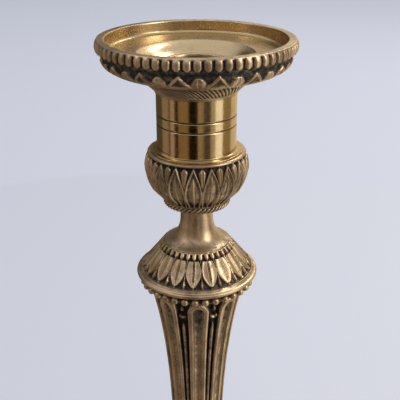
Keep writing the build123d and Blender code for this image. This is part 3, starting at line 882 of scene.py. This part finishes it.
# %% Neck
def neck():
    """The waisted neck with its two spigots."""
    foot_r, low, high = limits("neck")
    base, head = limits("shoulder_cap")[2], limits("urn_ring")[1]
    tall = head - base
    stretches = chain(
        (ROD_HOLE, low),
        (3, (SPIGOT, low)),
        (3, (SPIGOT, base)),
        (4, (foot_r, base)),
        ((3, 0.08), (foot_r, base + 0.35)),
        (
            60,
            *inset(foot_r, base, (1.9, -1.1), (4.1, -2.9), (5.6, -5.6)),
            *inset(foot_r, base, (6.3, -0.62 * tall), (6.0, -0.83 * tall)),
            (foot_r - 4.8, head),
        ),
        (3, (SPIGOT, head)),
        (3, (SPIGOT, high)),
        (3, (ROD_HOLE, high)),
        (3, (ROD_HOLE, low)),
    )
    section = np.vstack(stretches)
    points = revolve(section, 240)[0]
    level = section[:, 1:]
    # Painted shade at both ends: darker over the lowest 5 mm, on the capital, and over the top 3 mm,
    # under the rope ring.
    low_shade = 0.30 * (1 - soft_step(base, base + 5, level))
    piece = surface("neck_turned", points, low_shade + 0.5 * soft_step(head - 3, head, level) + 0.12)
    return hand_over(piece, "neck", cast_brass)


neck()

# %% [markdown]
# ## Capital
# The sloping capital has three belts: small teeth under the neck's sharp edge, eighteen
# drooping leaves that are each two convex halves with a deep groove between, and a plain
# band that ends in a rounded rim. Darts lie between the leaf tips.

# %% Capital section
cap_r, cap_foot, cap_top = limits("shoulder_cap")
cap_low = limits("bead_ring")[2]
CAP_RIM, LEDGE = 1.9, 1.0  # the rim's height, and the step from it to the slope
CAP_DEPTH = 1.2
CAP_TURN = -4.0  # degrees from the front to the nearest leaf's centre line
crown_r, under_crown = cap_r - 10.2, cap_top - 3.4
rim_top = cap_low + CAP_RIM
inner_r, well_r = cap_r - 4.4, 8.9
rim = inset(cap_r, cap_low, (1.6, 0.0), (0.5, -0.35), (0.05, -0.95), (0.1, -1.4), (0.5, -1.8))
cap_stretches = chain((inner_r, cap_low), (5, (cap_r - 1.4, cap_low))) + chain(
    rim[0],
    ((18, 0.05), *rim[1:], (cap_r - LEDGE, rim_top)),
    ((120, 0.05), (crown_r, cap_top)),
    (5, (SEAT, cap_top)),
    (2, (SEAT, cap_top - 1.7)),
    (2, (ROD_HOLE, cap_top - 1.7)),
    (4, (ROD_HOLE, cap_foot)),
    (3, (well_r, cap_foot)),
    (4, (well_r, under_crown)),
    (2, (crown_r - 2.4, under_crown)),
    (8, (inner_r, rim_top), (inner_r, cap_low)),
)
cap_section, cap_carved = assemble(cap_stretches, carved=2)


def capital_relief(r, z, angle):
    """Teeth, two-lobed leaves, darts and a plain band, by the way down from the neck.

    A leaf's outline is an ellipse that is drawn in towards its tip. Each of its lobes is an
    arch between that outline and the groove down the middle.
    """
    down = cap_top - z
    off = from_motif(angle, LEAVES, CAP_TURN)
    way = (down - 2.05) / 7.4
    wide = np.sqrt(np.clip(1 - ((way - 0.40) / 0.62) ** 2, 0, 1))
    half = 9.7 * wide * (1 - 0.30 * soft_step(0.55, 1.0, way))
    groove = 0.85 - 0.45 * np.clip(way, 0, 1)
    across = np.abs(off) - (half + groove) / 2
    lobe_half = np.maximum(half - groove, 0) / 2
    lobe = arch(across, lobe_half) ** 0.45 * (1 - 0.32 * arch(across, 0.72 * lobe_half))
    leaf = lobe * (way > -0.21) * (way < 1.02)
    dart_off = from_motif(angle, LEAVES, CAP_TURN + 180 / LEAVES)
    dart_half = 1.9 * np.clip((way - 0.70) / 0.22, 0, 1) * np.clip((1.13 - way) / 0.2, 0, 1)
    dart = 0.75 * arch(dart_off, dart_half)
    tooth_off = np.radians(from_motif(angle, 2 * LEAVES, CAP_TURN)) * r
    tooth_half = 0.84 * np.sqrt(np.clip((1.75 - down) / 0.7, 0, 1))
    tooth = arch(tooth_off, tooth_half) ** 0.6
    band = soft_step(1.09, 1.15, way)
    leaf = leaf * soft_step(1.75, 2.1, down)
    shape = np.maximum(np.maximum(leaf, dart), np.maximum(tooth, band))
    return -CAP_DEPTH * (1 - np.clip(shape, 0, 1))


# %% Capital mesh
def capital():
    """The capital's grid; its plain band is duller than the leaves and its rim is bright."""
    points, height = revolve(cap_section, LEAVES * 40, capital_relief, cap_carved)
    level = cap_section[:, 1:]
    plain = cap_carved & (level < cap_top - 10.1)
    marks = np.where(cap_carved, grime_and_shade(height, 1.05, 4), 0.15)
    marks = np.where(plain, 0.42 * soft_step(rim_top + 0.1, rim_top + 0.5, level), marks)
    piece = surface("capital_leaves", points, marks)
    return hand_over(piece, "shoulder_cap", cast_brass)


capital()

# %% [markdown]
# ## Bead rings
# Pearl beads run under the capital and round the foot. They could be instances of one ball,
# but here a bead is part of the casting, so the balls share the mesh of the band behind them.
# At this size fourteen sides by eight belts are enough.


# %% Bead ring helper
def ring_of_balls(circle_r, ball_r, level, count, first, turns=14, belts=9):
    """Points, faces and painted shade of count balls: x = ball_r sin(p) cos(q) and so on.

    A ball's painted shade lies on its side towards the axis and towards its neighbours, and a little on
    its lower half.
    """
    p = np.linspace(0, math.pi, belts)[1:-1, None]
    q = np.arange(turns) * (2 * math.pi / turns)
    unit = np.stack([np.sin(p) * np.cos(q), np.sin(p) * np.sin(q), np.cos(p) + 0 * q], -1)
    unit = np.concatenate([[[0, 0, -1.0]], unit[::-1].reshape(-1, 3), [[0, 0, 1.0]]])
    faces = capped_faces(belts - 2, turns)
    around = np.radians(first) + np.arange(count) * (2 * math.pi / count)
    out = np.stack([np.sin(around), -np.cos(around), 0 * around], -1)
    side = np.stack([np.cos(around), np.sin(around), 0 * around], -1)
    points = unit[None, :, :1] * out[:, None] + unit[None, :, 1:2] * side[:, None]
    points[..., 2] += unit[None, :, 2]
    points = points * ball_r + out[:, None] * circle_r
    points[..., 2] += level
    # Painted shade on each ball.
    dark = np.clip(0.5 * unit[:, 1] ** 2 - 0.5 * unit[:, 0] - 0.2 * unit[:, 2], 0, 1)
    offsets = (np.arange(count) * len(unit)).tolist()
    all_faces = [[corner + o for corner in face] for o in offsets for face in faces]
    return points.reshape(-1, 3) * MM, all_faces, np.tile(dark, count)


def bead_ring(name, node_name, band, ball_r, pitch, level, first):
    """A plain band and as many beads round it as the pitch allows."""
    circle_r = limits(node_name)[0] - ball_r
    count = int(2 * math.pi * circle_r / pitch)
    grid = revolve(np.vstack(band), 180)[0]
    balls, ball_faces, dark = ring_of_balls(circle_r, ball_r, level, count, first)
    band_size = grid.shape[0] * grid.shape[1]
    faces = grid_faces(*grid.shape[:2], wrap=True).tolist()
    faces += [[corner + band_size for corner in face] for face in ball_faces]
    points = np.concatenate([grid.reshape(-1, 3), balls])
    # Painted shade: the band behind the beads is made near black.
    mesh = smooth_mesh(name, points, faces, np.concatenate([np.full(band_size, 0.9), dark]))
    return hand_over(placed(name, mesh), node_name, cast_brass)


# %% Bead ring under the capital
bead_out, bead_low, bead_top = limits("bead_ring")
shaft_r, shaft_low, shaft_top = limits("fluted_shaft")
BEAD_R, BEAD_PITCH = 1.4, 3.8
bead_circle = bead_out - BEAD_R
spigot_r = shaft_r * 0.9 - 3.3
mid = (shaft_top + bead_top) / 2
band_r, band_hole = bead_circle - 0.4, 9
cap_band = chain(
    (band_hole, bead_low),
    (3, (spigot_r, bead_low)),
    (3, (spigot_r, shaft_top)),
    (3, (shaft_r, shaft_top)),
    (4, (band_r, mid)),
    (4, (band_r, bead_top)),
    (3, (band_hole, bead_top)),
    (3, (band_hole, bead_low)),
)
bead_ring("bead_ring_pearls", "bead_ring", cap_band, BEAD_R, BEAD_PITCH, mid, -1.6)

# %% [markdown]
# ## Fluted shaft
# Eight wide flutes with rounded tops stand in raised frames. Between two frames is a narrow,
# nearly black channel with a thin stem in it, and at the head of the channel a small husk
# and a drop. All widths are shares of the pitch, so they taper with the shaft.

# %% Shaft section and relief
SHAFT_SLIM, SHAFT_DECAY = 9.3, 32.0
FLUTES, FLUTE_TURN = 8, 2.0  # the nearest flute's centre line, in degrees from the front
SHAFT_ROWS, HEAD_ROWS = 114, 70  # rows on the outside, and those of them near the head
shaft_long = shaft_top - shaft_low


def shaft_radius(h):
    """The shaft's crest radius: it falls exponentially from the head to a slim foot."""
    return SHAFT_SLIM + (shaft_r - SHAFT_SLIM) * np.exp((h - shaft_long) / SHAFT_DECAY)


def shaft_section():
    """Outside up, with closer rows near the head, and the hollow inside down."""
    low_rows = np.linspace(0.1, shaft_long - 24, SHAFT_ROWS - HEAD_ROWS)
    high_rows = np.linspace(shaft_long - 23.6, shaft_long - 0.1, HEAD_ROWS)
    outside = np.concatenate([low_rows, high_rows])
    inside = np.linspace(shaft_long - 0.1, 0.1, 14)
    wall = np.maximum(shaft_radius(inside) * 0.9 - 3.2, SEAT)
    return np.vstack(
        [
            np.column_stack([shaft_radius(outside), shaft_low + outside]),
            np.column_stack([wall, shaft_low + inside]),
        ]
    )


def shaft_relief(r, z, angle):
    """Round-bottomed flutes in arched frames, and channels with a stem, a husk and a drop.

    The distance from a flute's centre line, or from the centre of its arch past its end,
    says what a point is: flute, then frame, then the sunk channel between two frames.
    """
    h = z - shaft_low
    crest = shaft_radius(h)
    full = crest * 2 * math.pi / FLUTES
    x = np.radians(from_motif(angle, FLUTES, FLUTE_TURN)) * crest
    y = np.radians(from_motif(angle, FLUTES, FLUTE_TURN + 180 / FLUTES)) * crest
    swell = soft_step(10.5, 15, crest)
    flute_half = full * (0.186 - 0.018 * swell)
    channel_half = full * (0.145 + 0.035 * swell)
    frame_wide = full / 2 - flute_half - channel_half
    head, foot = shaft_long - 3.0, 4.5
    over = np.clip(h - (head - flute_half), 0, None) + np.clip(foot + flute_half - h, 0, None)
    far = np.hypot(x, over)
    flute = -0.125 * crest * np.sqrt(np.clip(1 - (far / flute_half) ** 2, 0, 1))
    across = (far - flute_half - frame_wide / 2) / (frame_wide / 2)
    frame = -0.28 * np.clip(across, -1, 1) ** 2 * (across > -1)
    sunk = soft_step(0.85, 1.25, across) * soft_step(2.5, 4.0, h)
    channel = -0.13 * crest * sunk
    stem_top = shaft_long - 11.3
    stem_half = (0.78 + 0.08 * swell) * np.sqrt(np.clip((stem_top - h) / 3.0, 0, 1))
    stem = 0.11 * crest * arch(y, stem_half) ** 0.7
    husk_y = h - (shaft_long - 7.2)
    ring = bump(np.hypot(y, husk_y), 1.3, 0.55, 0.4) * (1 - soft_step(-0.5, 0.2, husk_y))
    drop = arch(np.hypot(y, (h - shaft_long + 4.4) / 1.4), 0.9)
    small = 0.10 * crest * np.maximum(ring, drop)
    return (flute + frame + channel + np.maximum(stem, small) * sunk) * (h < shaft_long - 0.2)


# %% Shaft mesh
def fluted_shaft():
    """The shaft's grid: black channels, brown flutes and frames that are rubbed bright."""
    columns = FLUTES * 96
    section = shaft_section()
    outer = np.arange(len(section))[:, None] < SHAFT_ROWS
    points, height = revolve(section, columns, shaft_relief, outer)
    angle = np.arange(columns) * (2 * math.pi / columns)
    level = section[:, 1:]
    off = np.abs(from_motif(angle, FLUTES, FLUTE_TURN))[None, :]
    # Painted shade under the capital: the top 2.2 mm count as channel, and the flutes darken from 26 mm
    # to 6 mm below the head.
    in_channel = np.maximum(soft_step(11.5, 13.5, off), level > shaft_top - 2.2)
    deep = np.clip(-height / (0.1 * section[:, :1]), 0, 1)
    flute_dark = (0.36 + 0.26 * soft_step(shaft_top - 26, shaft_top - 6, level)) * deep
    edge = np.clip((blurred(height, 3, 3) - height) / 0.5, -1, 1)
    marks = np.where(in_channel > 0.5, 1.25 * deep, flute_dark) + 0.35 * edge
    piece = surface("shaft_fluted", points, np.clip(marks, 0, 1))
    return hand_over(piece, "fluted_shaft", cast_brass)


fluted_shaft()

# %% [markdown]
# ## Knop and foot
# Under the shaft a gadrooned cushion stands on a smooth trumpet, which stands on a low dome of
# leaves. The dome sits on a plain step with a ring of beads in the angle between them.


# %% Knop
GADROONS = 24


def base_knop():
    """A cushion with soft gadroons, and a spigot up into the shaft."""
    knop_r, low, high = limits("base_knop")
    top = limits("shaft_ring")[1]
    mid_z = (low + top) / 2
    stretches = chain(
        (SEAT, low),
        (4, (11.6, low)),
        ((48, 0.05), (14.1, low + 1.4), (knop_r, mid_z), (14.1, top - 1.4), (11.6, top)),
        (4, (SPIGOT, top)),
        (3, (SPIGOT, high)),
        (2, (ROD_HOLE, high)),
        (4, (ROD_HOLE, low + 1.7)),
        (2, (SEAT, low + 1.7)),
        (2, (SEAT, low)),
    )

    def gadroons(r, z, angle):
        """Round lobes that fade out at the top and the foot."""
        lobe = arch(from_motif(angle, GADROONS), 7.4) ** 0.8
        return -0.8 * (1 - lobe) * soft_step(11.7, 12.8, r) * (r > 6)

    points, height = revolve(np.vstack(stretches), GADROONS * 20, gadroons)
    marks = np.clip(grime_and_shade(height, 0.8, 4) + 0.12, 0, 1)
    piece = surface("knop_gadrooned", points, marks)
    return hand_over(piece, "base_knop", cast_brass)


base_knop()


# %% Trumpet
def foot_flare():
    """The smooth trumpet, hollow underneath."""
    flare_r, low, high = limits("foot_flare")
    base, top = limits("foot_dome")[2], limits("base_knop")[1]
    rise = top - base - 1
    side = [(0.47, 0.13), (0.75, 0.36), (0.94, 0.7), (1, 1)]  # shares of its width and rise
    stretches = chain(
        (15.3, low),
        (3, (17.9, low)),
        (3, (17.9, base)),
        (5, (flare_r, base)),
        ((4, 0.15), (flare_r, base + 1)),
        (64, *[(flare_r - a * 18.6, base + 1 + b * rise) for a, b in side]),
        (4, (SPIGOT, top)),
        (3, (SPIGOT, high)),
        (2, (ROD_HOLE, high)),
        (4, (ROD_HOLE, top - 6)),
        (3, (8.8, top - 6)),
        (8, (15.3, base + 2.6), (15.3, low)),
    )
    section = np.vstack(stretches)
    points = revolve(section, 240)[0]
    level = section[:, 1:]
    # Painted shade at both ends: darker where the trumpet stands on the dome, and over the top 2.5 mm,
    # under the knop.
    low_shade = 0.35 * (1 - soft_step(base + 0.6, base + 4, level))
    marks = 0.14 + low_shade + 0.4 * soft_step(top - 2.5, top, level)
    piece = surface("foot_trumpet", points, marks)
    return hand_over(piece, "foot_flare", cast_brass)


foot_flare()

# %% Leaf dome
dome_r = limits("foot_bead_ring")[0] - 4.1
dome_low, dome_top = limits("foot_dome")[1:]
foot_r, foot_low, step_top = limits("foot_plinth")
FOOT_LEAVES = 30


def foot_dome():
    """The low dome with leaves that point down and out from its crown."""
    edge, crown, crown_r = dome_low + 4, dome_top - 1, limits("foot_flare")[0] + 1
    wide, tall = dome_r - crown_r, crown - edge
    inner, under = dome_r - 2.4, crown - 2.4
    upper = (dome_r - 0.38 * wide, edge + 0.68 * tall)
    stretches = chain(
        (inner, dome_low),
        (3, (dome_r, dome_low)),
        (5, (dome_r, edge)),
        (74, (dome_r - 0.12 * wide, edge + 0.38 * tall), upper, (crown_r, crown)),
        (3, (crown_r, dome_top)),
        (5, (18, dome_top)),
        (3, (18, under)),
        (3, (crown_r, under)),
        (8, (dome_r - 8.0, edge + 3.3), (inner, edge)),
        (3, (inner, dome_low)),
    )

    def leaves(r, z, angle):
        """The urn's leaf, turned over and widened for the dome."""
        rise = (r - crown_r) / (wide - 1.5)
        outer = (rise > 0) & (rise < 1) & (z > edge + 0.2) & (z > edge + tall * (1 - rise) - 3)
        shape = leaf_relief(from_motif(angle, FOOT_LEAVES), rise, r, 180 / FOOT_LEAVES, 0.96, 1.1)
        tongue_off = from_motif(angle, FOOT_LEAVES, 180 / FOOT_LEAVES)
        tongue_half = 1.7 * np.clip((rise - 0.55) / 0.3, 0, 1)
        tongue_half = tongue_half * np.sqrt(np.clip((0.98 - rise) / 0.08, 0, 1))
        tongue = -1.1 * (1 - arch(tongue_off, tongue_half))
        ends = soft_step(0.0, 0.04, rise) * (1 - soft_step(0.96, 1.0, rise))
        return np.maximum(shape, tongue) * outer * ends

    points, height = revolve(np.vstack(stretches), FOOT_LEAVES * 28, leaves)
    marks = np.clip(grime_and_shade(height, 0.95, 4) + 0.05, 0, 1)
    piece = surface("dome_of_leaves", points, marks)
    return hand_over(piece, "foot_dome", cast_brass)


foot_dome()

# %% Foot beads
FOOT_BEAD_R, FOOT_BEAD_PITCH = 1.9, 4.2
foot_bead_low, foot_bead_top = limits("foot_bead_ring")[1:]
foot_band_r = dome_r + 2.2
foot_mid = (foot_bead_low + foot_bead_top) / 2
foot_band = chain(
    (dome_r, foot_bead_low),
    ((3, 0.05), (foot_band_r, foot_bead_low)),
    (5, (foot_band_r, foot_bead_top)),
    ((3, 0.05), (dome_r, foot_bead_top)),
    (4, (dome_r, foot_bead_low)),
)
bead_ring("foot_ring_pearls", "foot_bead_ring", foot_band, FOOT_BEAD_R, FOOT_BEAD_PITCH, foot_mid, 0)


# %% Plain step
def foot_plinth():
    """The plain outer step with its rounded edge, a skirt and a flange."""
    flange_r, skirt_r, under = dome_r - 10, foot_r - 3.2, step_top - 2.2
    stretches = chain(
        (skirt_r, foot_low),
        (4, (foot_r, foot_low)),
        (14, (foot_r, step_top - 1.8)),
        ((9, 0.02), *inset(foot_r, step_top, (0.53, 0.53), (1.8, 0))),
        (16, (flange_r, step_top)),
        (3, (flange_r, under)),
        (5, (skirt_r, under)),
        (4, (skirt_r, foot_low)),
    )
    section = np.vstack(stretches)
    points = revolve(section, 300)[0]
    radius, level = section[:, :1], section[:, 1:]
    # Painted shade: the step darkens towards the dome and its beads, and along its bottom edge.
    shade_by_dome = 0.45 * (1 - soft_step(dome_r + 3, dome_r + 7, radius))
    marks = 0.1 + shade_by_dome + 0.3 * (1 - soft_step(foot_low, foot_low + 1.5, level))
    piece = surface("foot_step", points, np.clip(marks, 0, 1))
    return hand_over(piece, "foot_plinth", cast_brass)


foot_plinth()

# %% [markdown]
# ## Felt pad
# A disc of felt glued under the foot. Its faces are not perfectly flat and its cut edge is
# soft, so a few sine waves lift and sink it by hundredths of a millimetre.


# %% Felt
def felt_pad():
    """A thin disc with a soft edge, lifted and sunk by 0.03 sin(0.9 x) sin(0.7 y)."""
    radius, low, high = limits("felt_pad")
    edge_r, under, over = radius - 0.35, low + 0.04, high - 0.04
    stretches = chain(
        (0.6, under),
        (26, (edge_r, under)),
        ((7, 0.02), (radius - 0.06, (low + high) / 2), (edge_r, over)),
        (26, (0.6, over)),
    )
    section = np.vstack([[(0, under)], *stretches, [(0, over)]])

    def nap(r, z, angle):
        """Low waves over the faces and round the edge, none at the middle."""
        x, y = r * np.sin(angle), r * np.cos(angle)
        return 0.03 * np.sin(0.9 * x) * np.sin(0.7 * y) * soft_step(1, 6, r)

    points = revolve(section, 220, nap)[0]
    piece = surface("felt_disc", points, 0.0)
    hand_over(piece, "felt_pad", felt, "stick")
    return piece


felt_pad()

# %% [markdown]
# ## Inner fixings
# The rod, its nut and washers and the clamp plate are the right shape as they came from the
# CAD, so they keep their own meshes and only get a finish.

# %% Fixings
INNER = {
    "tie_rod": steel,
    "tie_rod_nut": steel,
    "clamp_washer": steel,
    "lock_washer": steel,
    "clamp_plate": iron,
}
for name, material in INNER.items():
    fixing = frame["nodes"][name]
    for held in fixing.material_slots:
        held.link = "OBJECT"
        held.material = material
print("finished", ", ".join(INNER))

# %% [markdown]
# ## Floor, camera and light
# The candlestick stands on a plain pale floor. The camera is close and looks down a little,
# with a long lens. Metal shows what is round it more than its own colour, so polished brass
# is lit with cards: pale ones for the broad glow, and black or brown ones for the deep
# stripes. Each card here lies on the floor from near the foot outwards, then stands up, and
# is seen only in reflections. Three large soft panels do the rest of the lighting.

# %% Floor and camera
FLOOR_GREY = colour(0.55, 0.56, 0.60)


def plain_floor():
    """A wide disc under the object, with a faint unevenness in its paint."""
    under = stretch([(0.5, -4.0), (6000, -4.0)], 5)
    section = np.vstack([[(0, -4.0)], under, stretch([(6000, 0), (0.5, 0)], 5), [(0, 0)]])
    floor = surface("floor", revolve(section, 96)[0], 0.0)
    material, tree, shader = new_material("floor_paint")
    place = node(tree, "TexCoord").outputs["Object"]
    patches = spread(tree, noise(tree, place, 3, 3), 0.3, 0.7, 0, 0.06)
    paint = mixed(tree, patches, FLOOR_GREY, colour(0.53, 0.54, 0.58))
    feed(tree, shader, {"Base Color": paint, "Roughness": 0.75})
    floor.data.materials.append(material)
    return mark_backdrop(floor)


plain_floor()

LENS, SENSOR = 64.8, 36.0
CAMERA_SIDE, CAMERA_AWAY, CAMERA_OVER_PAN = 0.0012, 0.2447, 0.0484
CAMERA_TILT = 66.03  # degrees up from straight down
camera = placed("camera", bpy.data.cameras.new("camera"))
camera.data.lens, camera.data.sensor_width = LENS, SENSOR
camera.location = (CAMERA_SIDE, -CAMERA_AWAY, pan_top * MM + CAMERA_OVER_PAN)
camera.rotation_euler = (math.radians(CAMERA_TILT), 0, 0)
camera.data.clip_start = 0.01
bpy.context.scene.camera = camera


# %% Lights
AIM_HEIGHT = 0.2  # on the neck


def panel(name, azimuth, elevation, away, size, power, tint):
    """A soft oblong light, aimed at the neck from that side: azimuth 0 is the front."""
    data = bpy.data.lights.new(name, "AREA")
    data.shape, data.size, data.size_y = "RECTANGLE", size[0], size[1]
    data.energy, data.color = power, tint
    light = placed(name, data)
    a, e = math.radians(azimuth), math.radians(elevation)
    out = np.array([math.sin(a) * math.cos(e), -math.cos(a) * math.cos(e), math.sin(e)])
    light.location = out * away + np.array([0, 0, AIM_HEIGHT])
    light.rotation_mode = "QUATERNION"
    light.rotation_quaternion = mathutils.Vector(out).to_track_quat("Z", "Y")
    return light


panel("light_window", 62, 30, 1.3, (0.35, 0.6), 6.5, (1.0, 0.97, 0.92))
panel("light_left", -75, 30, 1.4, (0.5, 0.6), 1.8, (0.95, 0.97, 1.0))
panel("light_behind", 152, 40, 1.8, (0.45, 0.6), 8, (1.0, 0.98, 0.96))

# %% Reflection cards
CARD_START, CARD_CIRCLE, CARD_LIFT, CARD_HEIGHT = 0.075, 0.55, 0.0015, 0.62
CARDS = (  # azimuth from, azimuth to, colour, and a strength where it isn't 1
    (-178, -112, (0.10, 0.08, 0.05)),
    (-112, -84, (0.32, 0.26, 0.20)),
    (-84, -79, (0.04, 0.02, 0.015)),
    (-79, -64, (0.46, 0.35, 0.29)),
    (-64, -52, (0.03, 0.015, 0.012)),
    (-52, -22, (0.30, 0.20, 0.11)),
    (-22, 4, (0.005, 0.004, 0.004)),
    (4, 9, (0.48, 0.37, 0.24)),
    (9, 10.5, (0.10, 0.07, 0.04)),
    (10.5, 14.5, (0.50, 0.39, 0.26)),
    (14.5, 16, (0.12, 0.09, 0.05)),
    (16, 20, (0.36, 0.28, 0.18)),
    (20, 40, (0.085, 0.068, 0.05)),
    (40, 54, (0.50, 0.44, 0.37)),
    (54, 78, (1.0, 0.98, 0.96), 1.35),
    (78, 112, (0.34, 0.25, 0.14)),
    (112, 178, (0.80, 0.68, 0.50)),
)


def card(number, start, end, tint, strength=1.0):
    """A faintly glowing card seen only in reflections.

    It lies on the floor as a wedge from near the foot outwards, then bends and stands up.
    """
    steps = 12
    azimuth = np.radians(np.linspace(start, end, steps))
    ray = np.stack([np.sin(azimuth), -np.cos(azimuth), 0 * azimuth], -1)
    lift = np.array([0, 0, CARD_LIFT])
    circle = ray * CARD_CIRCLE
    rows = [ray * CARD_START + lift, circle + lift, circle + [0, 0, CARD_HEIGHT]]
    faces = grid_faces(3, steps, wrap=False)
    faces = faces[np.arange(len(faces)) % steps < steps - 1].tolist()
    mesh = bpy.data.meshes.new(f"card_{number}")
    mesh.from_pydata(np.concatenate(rows), [], faces)
    made = placed(mesh.name, mesh)
    material = bpy.data.materials.new(mesh.name)
    tree = empty_tree(material)
    glow = node(tree, "Emission", None, {"Color": colour(*tint), "Strength": strength})
    node(tree, "OutputMaterial", None, {"Surface": glow.outputs[0]})
    mesh.materials.append(material)
    made.visible_camera = made.visible_diffuse = made.visible_shadow = False
    made.visible_transmission = made.visible_volume_scatter = False
    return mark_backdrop(made)


for number, facts in enumerate(CARDS):
    card(number, *facts)
print(len(CARDS), "cards")

# %% [markdown]
# ## Surroundings
# Beyond the cards is one even pale grey, a little lavender, as in a white-painted studio.


# %% World
def studio_world():
    """An even pale lavender grey all round."""
    world = bpy.data.worlds.new("studio")
    tree = empty_tree(world)
    air = node(tree, "Background", None, {"Color": colour(0.60, 0.615, 0.68), "Strength": 1.3})
    node(tree, "OutputWorld", None, {"Surface": air.outputs[0]})
    bpy.context.scene.world = world
    return world


studio_world()
bpy.context.scene.view_settings.view_transform = "Standard"
